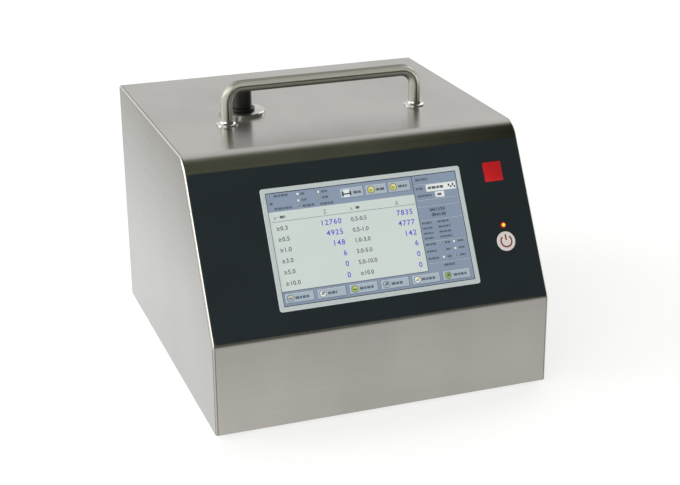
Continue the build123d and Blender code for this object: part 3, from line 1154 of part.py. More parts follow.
def io_board():
    """Board that carries the data sockets, resting on its angle."""
    board = Box(IO_BOARD_WIDTH, IO_BOARD_DEPTH, BOARD_THICKNESS, align=ON_FLOOR_AHEAD)
    return Pos(IO_X, REAR_INNER, IO_BOARD_Z) * board


def io_bracket():
    """Angle under the data board, riveted to the rear panel."""
    shelf = Box(IO_BOARD_WIDTH, FLANGE_WIDTH, SHEET, align=UNDER_AHEAD)
    upright = Box(IO_BOARD_WIDTH, SHEET, FLANGE_WIDTH, align=UNDER_AHEAD)
    return Pos(IO_X, REAR_INNER, IO_BOARD_Z) * (shelf + upright)


def build_rear_services():
    """Mains inlet, switch and data sockets."""
    keep("mains_inlet", mains_inlet())
    flat_head = screw(M3_RADIUS, SHEET + SOCKET_FLANGE + NUT_HEIGHT, M3_HEAD_RADIUS, M3_HEAD_HEIGHT)
    places = [(MAINS_X + x, INLET_SOCKET_Z) for x in spread(SOCKET_SCREW_PITCH, 2)]
    keep("mains_inlet_screws", *[on_rear(x, z, SOCKET_FLANGE, flat_head) for x, z in places])
    keep("rocker_housing", rocker_housing())
    keep("mains_rocker", mains_rocker())
    keep("network_port", network_port())
    keep("serial_port", serial_port())
    post = hex_nut(M3_RADIUS + POST_RIM, POST_BORE, SERIAL_REACH)
    stud = Cylinder(M3_RADIUS, SHEET + POST_TAIL, align=HIGH)
    places = [(SERIAL_X + x, SERIAL_Z) for x in spread(SERIAL_SCREW_PITCH, 2)]
    keep("serial_posts", *[on_rear(x, z, 0, post + stud) for x, z in places])
    keep("io_board", io_board())
    keep("io_bracket", io_bracket())


# ---- electronics ---------------------------------------------------------------------------------
def board_screw_places():
    """Fixing holes of the main board, about its middle."""
    return corners(MAIN_BOARD_WIDTH / 2 - STANDOFF_INSET, MAIN_BOARD_DEPTH / 2 - STANDOFF_INSET)


def main_board():
    """Main circuit board with two chips, a coil and a row of capacitors."""
    board = slab(MAIN_BOARD_WIDTH, MAIN_BOARD_DEPTH, BOARD_THICKNESS, BOARD_CORNER)
    for x, y in board_screw_places():
        board -= Pos(x, y, 0) * Cylinder(M3_RADIUS + SCREW_CLEARANCE, BOARD_THICKNESS, align=LOW)
    chip = Box(CHIP_SIZE, CHIP_SIZE, CHIP_HEIGHT, align=LOW)
    coil = Box(CHIP_SIZE, CHIP_SIZE, COIL_HEIGHT, align=LOW)
    for x, shape in zip(spread(2 * CHIP_SIZE, 3), (coil, chip, chip)):
        board += Pos(x, 0, BOARD_THICKNESS) * shape
    capacitor = Cylinder(CAPACITOR_RADIUS, CAPACITOR_HEIGHT, align=LOW)
    for x in spread(CAPACITOR_PITCH, 3):
        board += Pos(x, MAIN_BOARD_DEPTH / 2 - CAPACITOR_EDGE, BOARD_THICKNESS) * capacitor
    return Pos(MAIN_BOARD_X, MAIN_BOARD_Y, FLOOR + STANDOFF_HEIGHT) * board


def battery_pack():
    """Shrink-wrapped battery pack, standing on the base plate."""
    pack = Box(BATTERY_WIDTH, BATTERY_DEPTH, BATTERY_HEIGHT, align=LOW)
    pack = fillet(pack.edges().filter_by(Axis.X), BATTERY_ROUND)
    return Pos(BATTERY_X, BATTERY_Y, FLOOR) * pack


def power_supply():
    """Boxed power supply with a vented lid."""
    box = Box(SUPPLY_WIDTH, SUPPLY_DEPTH, SUPPLY_HEIGHT, align=LOW)
    slot = extrude(SlotOverall(SUPPLY_SLOT_LENGTH, VENT_SLOT_WIDTH), amount=-SHEET)
    for y in spread(SUPPLY_SLOT_PITCH, SUPPLY_SLOTS):
        box -= Pos(0, y, SUPPLY_HEIGHT) * slot
    return Pos(SUPPLY_X, SUPPLY_Y, FLOOR) * box


def nut_places():
    """Where the M3 nuts sit: on foot screws, display and key-board studs, fan bolts and mains screws."""
    places = [Pos(x, y, FLOOR) for x, y in foot_places()]
    studs = [(u, v, BRACKET_BACK) for u, v in stud_places()]
    studs += [(u, v, KEY_BOARD_FRONT - BOARD_THICKNESS) for u, v in key_stud_places()]
    places += [FACE.location * Pos(u, v, w - NUT_HEIGHT) for u, v, w in studs]
    bolts = [(FAN_X + x, FAN_Z + z, FAN_DEPTH) for x, z in corners(FAN_HOLE_PITCH / 2, FAN_HOLE_PITCH / 2)]
    bolts += [(MAINS_X + x, INLET_SOCKET_Z, 0) for x in spread(SOCKET_SCREW_PITCH, 2)]
    places += [REAR_OUT.location * Pos(-x, z, -SHEET - depth - NUT_HEIGHT) for x, z, depth in bolts]
    return places


def build_electronics():
    """Boards, battery and power supply on the base plate."""
    keep("main_board", main_board())
    standoff = hex_nut(STANDOFF_RADIUS, M3_RADIUS + THREAD_CLEARANCE, STANDOFF_HEIGHT)
    screw_top = FLOOR + STANDOFF_HEIGHT + BOARD_THICKNESS
    fixing = screw(M3_RADIUS, BOARD_THICKNESS + STANDOFF_HEIGHT / 2, M3_HEAD_RADIUS, M3_HEAD_HEIGHT)
    places = [(MAIN_BOARD_X + x, MAIN_BOARD_Y + y) for x, y in board_screw_places()]
    keep("board_standoffs", *[Pos(x, y, FLOOR) * standoff for x, y in places])
    keep("board_screws", *[Pos(x, y, screw_top) * fixing for x, y in places])
    keep("battery_pack", battery_pack())
    keep("power_supply", power_supply())


def build_nuts():
    """All the M3 nuts."""
    nut = hex_nut(NUT_RADIUS, M3_RADIUS + THREAD_CLEARANCE, NUT_HEIGHT)
    keep("m3_nuts", *[place * nut for place in nut_places()])


def main():
    """Build every piece and write one STEP file for each."""
    build_case()
    build_handle()
    build_control_face()
    build_sampling()
    build_pump()
    build_fan()
    build_rear_services()
    build_electronics()
    build_nuts()
    os.makedirs("parts", exist_ok=True)
    for name, shape in PIECES.items():
        export_step(shape, os.path.join("parts", name + ".step"))
    print(len(PIECES), "pieces written")


main()
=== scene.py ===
"""Looks of a bench-top airborne particle counter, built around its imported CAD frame.

Everything is in metres in the row frame: +Z up, the operator's side facing -Y, the origin in the middle of
the footprint on the floor. Sizes in the classes below are millimetres.
"""

import logging
import math
from dataclasses import dataclass, field
from enum import Enum
from typing import Callable, Sequence

import bpy
from mathutils import Matrix, Vector


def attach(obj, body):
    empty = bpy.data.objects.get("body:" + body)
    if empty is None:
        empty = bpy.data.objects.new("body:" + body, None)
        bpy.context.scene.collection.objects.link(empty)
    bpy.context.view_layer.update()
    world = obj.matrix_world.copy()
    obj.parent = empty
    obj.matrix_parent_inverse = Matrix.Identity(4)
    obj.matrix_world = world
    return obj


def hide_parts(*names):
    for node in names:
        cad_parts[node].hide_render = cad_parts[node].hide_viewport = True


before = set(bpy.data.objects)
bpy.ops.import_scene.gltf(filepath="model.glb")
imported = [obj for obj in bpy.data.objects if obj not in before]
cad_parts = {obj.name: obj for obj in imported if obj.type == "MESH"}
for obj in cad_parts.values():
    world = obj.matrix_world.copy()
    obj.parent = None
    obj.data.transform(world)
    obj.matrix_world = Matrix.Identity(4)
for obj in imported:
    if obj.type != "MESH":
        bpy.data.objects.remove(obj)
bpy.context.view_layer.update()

LOG = logging.getLogger("particle_counter")
MM = 0.001

CASE = "case"
POWER_KEY = "power_key"
ROCKER = "mains_switch_rocker"

Colour = tuple[float, float, float]
Point = tuple[float, float, float]
Socket = bpy.types.NodeSocket
Piece = bpy.types.Object


def srgb(red: int, green: int, blue: int) -> Colour:
    """Turn a screen colour into linear light.

    Args:
        red: Red from 0 to 255.
        green: Green from 0 to 255.
        blue: Blue from 0 to 255.

    Returns:
        The linear colour.
    """
    shares = (red / 255, green / 255, blue / 255)
    return tuple(s / 12.92 if s <= 0.04045 else ((s + 0.055) / 1.055) ** 2.4 for s in shares)


def scaled(colour: Colour, amount: float) -> Colour:
    """Return a colour made lighter or darker by a factor."""
    return tuple(min(1.0, channel * amount) for channel in colour)


def plane_matrix(origin: Point, across: Point, outward: Point) -> Matrix:
    """Build the placing matrix of a flat working plane.

    Args:
        origin: The plane's origin in millimetres.
        across: Direction of its own X.
        outward: Direction of its own Z.

    Returns:
        A matrix from the plane's metres to the row frame.
    """
    axis_x = Vector(across).normalized()
    axis_z = Vector(outward).normalized()
    axis_y = axis_z.cross(axis_x)
    turn = Matrix((axis_x, axis_y, axis_z)).transposed().to_4x4()
    return Matrix.Translation(Vector(origin) * MM) @ turn


FACE_TILT = math.radians(30)
FACE_OUT = (0.0, -math.cos(FACE_TILT), math.sin(FACE_TILT))
FACE = plane_matrix((0.0, -152.0, 75.0), (1.0, 0.0, 0.0), FACE_OUT)
REAR = plane_matrix((0.0, 138.0, 0.0), (-1.0, 0.0, 0.0), (0.0, 1.0, 0.0))


def lifted(plane: Matrix, across: float, along: float, out: float) -> Matrix:
    """Return a working plane moved within itself, in millimetres."""
    return plane @ Matrix.Translation((across * MM, along * MM, out * MM))


# ---- tools --------------------------------------------------------------------------------------
def behind(centre: tuple[float, float], out: float = 0.0) -> Matrix:
    """Return the rear panel's plane about a point given by its X and Z in the row frame."""
    return lifted(REAR, -centre[0], centre[1], out)


class Pick(Enum):
    """What an edit-mode selection is made of."""

    POINTS = "VERT"
    EDGES = "EDGE"
    FACES = "FACE"


def put_down() -> None:
    """Leave edit mode and deselect everything."""
    if bpy.context.mode != "OBJECT":
        bpy.ops.object.mode_set(mode="OBJECT")
    bpy.ops.object.select_all(action="DESELECT")


def pick_up(*objects: Piece) -> Piece:
    """Select these objects alone, the first one active, and return the first."""
    put_down()
    for item in objects:
        item.select_set(True)
    bpy.context.view_layer.objects.active = objects[0]
    return objects[0]


def choose(piece: Piece, kind: Pick, test: Callable) -> None:
    """Enter edit mode with only those parts of a mesh selected that pass a test.

    Args:
        piece: The mesh object.
        kind: Whether points, edges or faces are tested.
        test: Takes the mesh and one vertex, edge or polygon, and says if it is wanted.
    """
    pick_up(piece)
    bpy.ops.object.mode_set(mode="EDIT")
    bpy.ops.mesh.select_mode(type=kind.value)
    bpy.ops.mesh.select_all(action="DESELECT")
    bpy.ops.object.mode_set(mode="OBJECT")
    mesh = piece.data
    items = {Pick.POINTS: mesh.vertices, Pick.EDGES: mesh.edges, Pick.FACES: mesh.polygons}[kind]
    for item in items:
        item.select = test(mesh, item)
    bpy.ops.object.mode_set(mode="EDIT")


def upright(mesh: bpy.types.Mesh, edge: bpy.types.MeshEdge) -> bool:
    """Tell whether an edge runs along Z."""
    start, end = (mesh.vertices[index].co for index in edge.vertices)
    return abs(start.x - end.x) < 1e-7 and abs(start.y - end.y) < 1e-7


def finish_edges(piece: Piece, width: float, segments: int = 2) -> None:
    """Bevel a piece's sharp edges with a modifier and smooth it.

    Args:
        piece: The mesh object.
        width: Bevel width in millimetres.
        segments: Facets across the bevel.
    """
    pick_up(piece)
    bevel = piece.modifiers.new("edge_round", "BEVEL")
    bevel.width = width * MM
    bevel.segments = segments
    bevel.limit_method = "ANGLE"
    bevel.angle_limit = math.radians(40)
    bpy.ops.object.modifier_apply(modifier=bevel.name)
    bpy.ops.object.shade_smooth_by_angle(angle=math.radians(35))


def block(width: float, depth: float, height: float, corner: float = 0.0, low: float = 0.0) -> Piece:
    """Model a flat block about the origin, its upright edges rounded.

    Args:
        width: Size along X in millimetres.
        depth: Size along Y.
        height: Size along Z.
        corner: Radius of the upright edges.
        low: Height of its underside.

    Returns:
        The new object.
    """
    put_down()
    middle = (0.0, 0.0, (low + height / 2) * MM)
    bpy.ops.mesh.primitive_cube_add(size=1, location=middle, scale=(width * MM, depth * MM, height * MM))
    piece = bpy.context.active_object
    bpy.ops.object.transform_apply(location=True, rotation=True, scale=True)
    if corner:
        choose(piece, Pick.EDGES, upright)
        bpy.ops.mesh.bevel(offset=corner * MM, segments=6, affect="EDGES")
        put_down()
    return piece


def disc(radius: float, height: float, low: float = 0.0, sides: int = 48, at: Point = (0, 0, 0)) -> Piece:
    """Model a round disc standing on its own plane.

    Args:
        radius: Radius in millimetres.
        height: Thickness.
        low: Height of its underside.
        sides: Facets round it.
        at: Where its middle stands, in millimetres.

    Returns:
        The new object.
    """
    put_down()
    place = (at[0] * MM, at[1] * MM, (at[2] + low + height / 2) * MM)
    bpy.ops.mesh.primitive_cylinder_add(vertices=sides, radius=radius * MM, depth=height * MM, location=place)
    piece = bpy.context.active_object
    bpy.ops.object.transform_apply(location=True, rotation=True, scale=True)
    return piece


def hoop(radius: float, wire: float, around: int, across: int, rise: float = 0.0) -> Piece:
    """Model a round ring of wire lying flat.

    Args:
        radius: Radius of the ring's middle line in millimetres.
        wire: Radius of the wire.
        around: Facets round the ring.
        across: Facets round the wire.
        rise: Height of its middle line.

    Returns:
        The new object.
    """
    put_down()
    bpy.ops.mesh.primitive_torus_add(
        major_radius=radius * MM, minor_radius=wire * MM, major_segments=around, minor_segments=across,
        location=(0, 0, rise * MM),
    )
    piece = bpy.context.active_object
    bpy.ops.object.transform_apply(location=True, rotation=True, scale=True)
    return piece


def cut_out(piece: Piece, cutter: Piece) -> None:
    """Cut one shape out of another and throw the cutter away.

    Args:
        piece: The shape that is cut.
        cutter: The shape that is taken away from it.
    """
    pick_up(piece)
    cut = piece.modifiers.new("cut", "BOOLEAN")
    cut.operation = "DIFFERENCE"
    cut.object = cutter
    bpy.ops.object.modifier_apply(modifier=cut.name)
    bpy.data.objects.remove(cutter)


def welded(pieces: Sequence[Piece]) -> Piece:
    """Join several modelled shapes into one piece and return it."""
    first = pick_up(*pieces)
    if len(pieces) > 1:
        bpy.ops.object.join()
    return first


def copied(piece: Piece, shift: Point, turn: float = 0.0) -> Piece:
    """Copy a piece with its own mesh, moved and turned about Z.

    Args:
        piece: The piece to copy.
        shift: Where to, in millimetres.
        turn: Turn about the piece's own Z in degrees.

    Returns:
        The copy, with its place in its mesh.
    """
    pick_up(piece)
    bpy.ops.object.duplicate()
    twin = bpy.context.active_object
    twin.matrix_world = Matrix.Translation(Vector(shift) * MM) @ Matrix.Rotation(math.radians(turn), 4, "Z")
    bpy.ops.object.transform_apply(location=True, rotation=True, scale=True)
    return twin


def repeated(pattern: Piece, spots: Sequence[tuple[float, float]]) -> Piece:
    """Set a copy of a shape in every spot, join them and throw the pattern away.

    Args:
        pattern: The shape.
        spots: Where the copies stand on the shape's own plane, in millimetres.

    Returns:
        The joined copies.
    """
    copies = [copied(pattern, (x, y, 0)) for x, y in spots]
    bpy.data.objects.remove(pattern)
    return welded(copies)


def seat(piece: Piece, name: str, place: Matrix, body: str, finish: "Finish") -> Piece:
    """Put a piece in its place, give it its finish and let it ride on a body.

    Args:
        piece: The modelled piece, still on its own plane.
        name: Its name.
        place: Matrix of the plane it belongs on.
        body: The CAD body it moves with.
        finish: Its finish.

    Returns:
        The piece, with its place in its mesh.
    """
    pick_up(piece)
    piece.name = name
    piece.data.name = name
    piece.matrix_world = place @ piece.matrix_world
    bpy.ops.object.transform_apply(location=True, rotation=True, scale=True)
    piece.data.materials.clear()
    piece.data.materials.append(finish.material())
    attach(piece, body)
    put_down()
    LOG.info("piece %s rides %s, %d faces", name, body, len(piece.data.polygons))
    return piece


# ---- finishes -----------------------------------------------------------------------------------
class Graph:
    """A material's node tree, with helpers named for what they do to a surface."""

    def __init__(self, name: str) -> None:
        """Start a material whose principled shader is ready to be fed."""
        self.material = bpy.data.materials.new(name)
        self.material.use_nodes = True
        self.tree = self.material.node_tree
        self.shader = self.tree.nodes["Principled BSDF"]

    def add(self, kind: str, **settings: object) -> bpy.types.Node:
        """Add a node and set its own properties."""
        made = self.tree.nodes.new(kind)
        for key, value in settings.items():
            setattr(made, key, value)
        return made

    def feed(self, source: Socket, target: Socket) -> None:
        """Link two sockets."""
        self.tree.links.new(source, target)

    def position(self, stretch: Point = (1, 1, 1), centre: Point = (0, 0, 0)) -> Socket:
        """Return the object position, centred on a point in millimetres and stretched."""
        mapping = self.add("ShaderNodeMapping")
        mapping.inputs["Location"].default_value = [-c * MM * s for c, s in zip(centre, stretch)]
        mapping.inputs["Scale"].default_value = stretch
        self.feed(self.add("ShaderNodeTexCoord").outputs["Object"], mapping.inputs["Vector"])
        return mapping.outputs["Vector"]

    def noise(self, where: Socket, scale: float, detail: float = 2.0) -> Socket:
        """Return a noise value at a position."""
        made = self.add("ShaderNodeTexNoise")
        made.inputs["Scale"].default_value = scale
        made.inputs["Detail"].default_value = detail
        self.feed(where, made.inputs["Vector"])
        return made.outputs["Fac"]

    def reach(self, value: Socket, low: float, high: float, start: float = 0.3, stop: float = 0.7) -> Socket:
        """Map a value from start..stop to low..high."""
        made = self.add("ShaderNodeMapRange")
        for key, number in (("From Min", start), ("From Max", stop), ("To Min", low), ("To Max", high)):
            made.inputs[key].default_value = number
        self.feed(value, made.inputs["Value"])
        return made.outputs["Result"]

    def mixed(self, share: Socket, low: object, high: object) -> Socket:
        """Mix two colours, each a plain colour or a socket, by a share."""
        made = self.add("ShaderNodeMix", data_type="RGBA")
        self.feed(share, made.inputs[0])
        for value, socket in ((low, made.inputs[6]), (high, made.inputs[7])):
            if isinstance(value, Socket):
                self.feed(value, socket)
            else:
                socket.default_value = (*value, 1.0)
        return made.outputs[2]

    def maths(self, operation: str, first: object, second: object = 0.0) -> Socket:
        """Apply a maths operation to two values, each a number or a socket."""
        made = self.add("ShaderNodeMath", operation=operation)
        for value, socket in zip((first, second), made.inputs):
            if isinstance(value, Socket):
                self.feed(value, socket)
            else:
                socket.default_value = value
        return made.outputs[0]

    def bump(self, height: Socket, depth: float, strength: float = 1.0) -> None:
        """Raise the surface by a height map, depth in millimetres."""
        made = self.add("ShaderNodeBump")
        made.inputs["Distance"].default_value = depth * MM
        made.inputs["Strength"].default_value = strength
        self.feed(height, made.inputs["Height"])
        self.feed(made.outputs["Normal"], self.shader.inputs["Normal"])

    def set(self, **values: object) -> None:
        """Set constants on the shader's own sockets, by name with underscores for spaces."""
        for key, value in values.items():
            socket = self.shader.inputs[key.replace("_", " ")]
            socket.default_value = (*value, 1.0) if isinstance(value, tuple) and len(value) == 3 else value


@dataclass(frozen=True)
class Finish:
    """A plain moulded finish: slightly uneven colour, fine grain in gloss and relief."""

    name: str
    slot: str
    colour: Colour
    roughness: float = 0.45
    metallic: float = 0.0
    grain: float = 900.0
    relief: float = 0.02
    patchy: float = 0.08
    coat: float = 0.0
    glow: float = 0.0

    def material(self) -> bpy.types.Material:
        """Return this finish's material, made on first use."""
        ready = bpy.data.materials.get(self.name)
        if ready:
            return ready
        graph = Graph(self.name)
        graph.set(Metallic=self.metallic, Coat_Weight=self.coat, Coat_Roughness=0.08)
        self.dress(graph)
        return graph.material

    def dress(self, graph: Graph) -> None:
        """Feed colour, gloss and relief to the shader."""
        where = graph.position()
        patches = graph.noise(where, 26.0, 4.0)
        grain = graph.noise(where, self.grain, 3.0)
        low = scaled(self.colour, 1 - self.patchy)
        high = scaled(self.colour, 1 + self.patchy)
        tint = graph.mixed(graph.reach(patches, 0, 1), low, high)
        graph.feed(tint, graph.shader.inputs["Base Color"])
        if self.glow:
            graph.feed(tint, graph.shader.inputs["Emission Color"])
            graph.set(Emission_Strength=self.glow)
        gloss = graph.reach(grain, self.roughness * 0.85, min(1.0, self.roughness * 1.15))
        graph.feed(gloss, graph.shader.inputs["Roughness"])
        graph.bump(grain, self.relief)


@dataclass(frozen=True)
class BrushedSteel(Finish):
    """Cold-rolled stainless sheet, finely brushed along X in front and on top, along Y at the sides; its
    colour carries painted light and shade that differ by the way each sheet faces and by place, and painted
    highlights with painted dark lines along its side edges.
    """

    # Side sheet tone, with a painted shade that darkens it towards the top edge between the two heights below.
    side_colour: Colour = (0.378, 0.373, 0.362)
    side_painted_shade: Colour = (0.105, 0.098, 0.068)
    shade_from: float = 60.0
    shade_to: float = 196.0
    # Front wall tones with painted light: lighter at the left than at the right, and lighter again towards the
    # foot, up to the given height.
    painted_front_left: Colour = (0.36, 0.347, 0.32)
    painted_front_right: Colour = (0.325, 0.313, 0.29)
    painted_foot_light_left: Colour = (0.46, 0.443, 0.41)
    painted_foot_light_right: Colour = (0.396, 0.381, 0.353)
    painted_foot_light_top: float = 70.0
    # Painted reflection on the slanted strip above the overlay: light at the left, dark at the right.
    painted_brow_light: Colour = (0.62, 0.605, 0.53)
    painted_brow_shade: Colour = (0.17, 0.165, 0.125)
    half_width: float = 135.0
    # Painted highlight along the side edges, dimmer where an edge faces less upward, and the painted dark
    # lines beside it.
    painted_edge_highlight: Colour = (0.80, 0.785, 0.72)
    painted_edge_highlight_low: Colour = (0.44, 0.43, 0.40)
    painted_edge_shade: Colour = (0.16, 0.155, 0.13)
    streak: float = 0.035
    anisotropy: float = 0.8

    def streaks(self, graph: Graph, stretch: Point) -> Socket:
        """Return brush streaks drawn out along one axis, coarse and fine together."""
        coarse = graph.noise(graph.position(stretch), 1.0, 3.0)
        fine = graph.noise(graph.position(tuple(4.3 * s for s in stretch)), 1.0, 2.0)
        return graph.maths("ADD", graph.maths("MULTIPLY", coarse, 0.45), graph.maths("MULTIPLY", fine, 0.55))

    def edges(self, graph: Graph, base: Socket, ridge: Socket, lean: Socket) -> Socket:
        """Paint a highlight along the side edges: a pale painted highlight line with a painted dark line at
        each side of it.

        Args:
            graph: The material's graph.
            base: Colour of the flat sheets.
            ridge: Colour of the painted highlight on the edge itself.
            lean: How far the surface faces sideways, from 0 to 1.

        Returns:
            The colour with the painted edge lines in it.
        """
        painted_shade_line_start = graph.reach(lean, 0, 1, 0.01, 0.08)
        painted_shade_line = graph.maths("MULTIPLY", painted_shade_line_start, graph.reach(lean, 1, 0, 0.985, 0.9995))
        painted_highlight_line_start = graph.reach(lean, 0, 1, 0.22, 0.42)
        painted_highlight_line = graph.maths("MULTIPLY", painted_highlight_line_start, graph.reach(lean, 1, 0, 0.86, 0.95))
        return graph.mixed(painted_highlight_line, graph.mixed(painted_shade_line, base, self.painted_edge_shade), ridge)

    def dress(self, graph: Graph) -> None:
        """Feed grain by the way each sheet faces, and paint light and shade into the colour by facing and
        place.
        """
        normal = graph.add("ShaderNodeSeparateXYZ")
        graph.feed(graph.add("ShaderNodeNewGeometry").outputs["Normal"], normal.inputs[0])
        sideways = graph.reach(graph.maths("ABSOLUTE", normal.outputs["X"]), 0, 1, 0.6, 0.8)
        upward = graph.reach(normal.outputs["Z"], 0, 1, 0.2, 0.9)
        along_x = self.streaks(graph, (4.0, 700.0, 700.0))
        along_y = self.streaks(graph, (700.0, 4.0, 700.0))
        grain = graph.add("ShaderNodeMix", data_type="FLOAT")
        graph.feed(sideways, grain.inputs[0])
        graph.feed(along_x, grain.inputs[2])
        graph.feed(along_y, grain.inputs[3])
        streak = graph.reach(grain.outputs[0], 1 - self.streak, 1 + self.streak, 0.36, 0.64)
        cloud = graph.reach(graph.noise(graph.position((14, 9, 5)), 1.0, 3.0), 0.93, 1.07)
        spot = graph.add("ShaderNodeSeparateXYZ")
        graph.feed(graph.position(), spot.inputs[0])
        # Painted shade: the side sheets darken towards the top edge.
        high = graph.reach(spot.outputs["Z"], 0, 1, self.shade_from * MM, self.shade_to * MM)
        side = graph.mixed(graph.maths("POWER", high, 1.6), self.side_colour, self.side_painted_shade)
        # Painted light on the front wall: lighter towards the left and towards the foot.
        right = graph.reach(spot.outputs["X"], 0, 1, -self.half_width * MM, self.half_width * MM)
        painted_foot_light = graph.reach(spot.outputs["Z"], 1, 0, 5.0 * MM, self.painted_foot_light_top * MM)
        painted_left_front = graph.mixed(painted_foot_light, self.painted_front_left, self.painted_foot_light_left)
        front = graph.mixed(right, painted_left_front, graph.mixed(painted_foot_light, self.painted_front_right, self.painted_foot_light_right))
        # Painted light: upward-facing sheets take the steel's own colour, the front wall its painted lit
        # tones.
        base = graph.mixed(upward, front, self.colour)
        # Painted reflection on the slanted strip: light at the left fading to dark at the right.
        painted_brow = graph.mixed(graph.reach(right, 0, 1, 0.5, 1.0), self.painted_brow_light, self.painted_brow_shade)
        slanted = graph.maths(
            "MULTIPLY",
            graph.reach(normal.outputs["Z"], 0, 1, 0.35, 0.47),
            graph.reach(normal.outputs["Z"], 1, 0, 0.78, 0.94),
        )
        base = graph.mixed(slanted, base, painted_brow)
        # Painted light: the side sheets take their own painted tone, shaded towards the top.
        base = graph.mixed(sideways, base, side)
        # Painted highlight on the side edges, dimmer where they face less upward.
        rise = graph.reach(normal.outputs["Z"], 0, 1, 0.05, 0.40)
        ridge = graph.mixed(rise, self.painted_edge_highlight_low, self.painted_edge_highlight)
        base = self.edges(graph, base, ridge, graph.maths("ABSOLUTE", normal.outputs["X"]))
        tone = graph.add("ShaderNodeMix", data_type="RGBA", blend_type="MULTIPLY")
        tone.inputs[0].default_value = 1.0
        graph.feed(base, tone.inputs[6])
        shade = graph.maths("MULTIPLY", streak, cloud)
        grey = graph.add("ShaderNodeCombineColor")
        for channel in ("Red", "Green", "Blue"):
            graph.feed(shade, grey.inputs[channel])
        graph.feed(grey.outputs[0], tone.inputs[7])
        graph.feed(tone.outputs[2], graph.shader.inputs["Base Color"])
        gloss = graph.reach(grain.outputs[0], self.roughness * 0.8, self.roughness * 1.2)
        graph.feed(gloss, graph.shader.inputs["Roughness"])
        along = graph.mixed(sideways, (1.0, 0.0, 0.0), (0.0, 1.0, 0.0))
        graph.feed(along, graph.shader.inputs["Tangent"])
        graph.set(Anisotropic=self.anisotropy, Anisotropic_Rotation=0.25)
        graph.bump(grain.outputs[0], self.relief)


@dataclass(frozen=True)
class DrawnMetal(Finish):
    """Turned or drawn metal: fine lines round or along the piece and a soft clouded gloss."""

    stretch: Point = (60.0, 60.0, 1800.0)
    streak: float = 0.1

    def dress(self, graph: Graph) -> None:
        """Feed drawn lines to colour, gloss and relief."""
        lines = graph.noise(graph.position(self.stretch), 1.0, 3.0)
        cloud = graph.noise(graph.position(), 60.0, 4.0)
        share = graph.maths("ADD", graph.maths("MULTIPLY", lines, 0.6), graph.maths("MULTIPLY", cloud, 0.4))
        low = scaled(self.colour, 1 - self.streak)
        high = scaled(self.colour, 1 + self.streak)
        tone = graph.mixed(graph.reach(share, 0, 1, 0.38, 0.62), low, high)
        graph.feed(tone, graph.shader.inputs["Base Color"])
        gloss = graph.reach(share, self.roughness * 0.8, self.roughness * 1.25, 0.38, 0.62)
        graph.feed(gloss, graph.shader.inputs["Roughness"])
        graph.bump(lines, self.relief)


@dataclass(frozen=True)
class SatinRod(Finish):
    """Satin handle steel with painted light: a painted pale side where it faces the light, a painted highlight
    band on its upper front, painted shade on its top and underneath, and one painted dark reflection line
    where it faces straight ahead.
    """

    # Painted light tones laid on by facing: pale side, highlight band, shade on top, and a dark tone for the
    # reflection line ahead and the shade underneath.
    pale: Colour = (0.52, 0.51, 0.455)
    band: Colour = (0.97, 0.95, 0.85)
    painted_top_shade: Colour = (0.22, 0.21, 0.175)
    line: Colour = (0.08, 0.078, 0.053)
    painted_highlight_way: Point = (0.25, -0.83, 0.47)
    painted_side_light_way: Point = (-0.96, -0.28, 0.0)
    painted_top_shade_way: Point = (0.12, 0.10, 0.985)
    painted_dark_line_way: Point = (0.0, -0.998, 0.058)
    painted_under_shade_way: Point = (0.0, -0.10, -0.995)

    def facing(self, graph: Graph, way: Point, start: float, stop: float) -> Socket:
        """Return how far the surface faces a way, from 0 to 1 between two cosines."""
        dot = graph.add("ShaderNodeVectorMath", operation="DOT_PRODUCT")
        graph.feed(graph.add("ShaderNodeNewGeometry").outputs["Normal"], dot.inputs[0])
        dot.inputs[1].default_value = way
        return graph.reach(dot.outputs["Value"], 0, 1, start, stop)

    def dress(self, graph: Graph) -> None:
        """Feed painted light and shade by facing, and a fine grain to the gloss."""
        grain = graph.noise(graph.position(), 120.0, 1.0)
        cloud = graph.noise(graph.position(), 45.0, 1.0)
        low = scaled(self.colour, 1 - self.patchy)
        high = scaled(self.colour, 1 + self.patchy)
        tone = graph.mixed(graph.reach(cloud, 0, 1), low, high)
        # Painted shade on top, painted highlight band, painted pale side, painted dark reflection line ahead
        # and painted shade underneath.
        tone = graph.mixed(self.facing(graph, self.painted_top_shade_way, 0.80, 0.93), tone, self.painted_top_shade)
        tone = graph.mixed(self.facing(graph, self.painted_highlight_way, 0.84, 0.93), tone, self.band)
        tone = graph.mixed(self.facing(graph, self.painted_side_light_way, 0.42, 0.66), tone, self.pale)
        tone = graph.mixed(self.facing(graph, self.painted_dark_line_way, 0.982, 0.995), tone, self.line)
        tone = graph.mixed(self.facing(graph, self.painted_under_shade_way, 0.45, 0.75), tone, self.line)
        graph.feed(tone, graph.shader.inputs["Base Color"])
        gloss = graph.reach(grain, self.roughness * 0.95, self.roughness * 1.05)
        graph.feed(gloss, graph.shader.inputs["Roughness"])


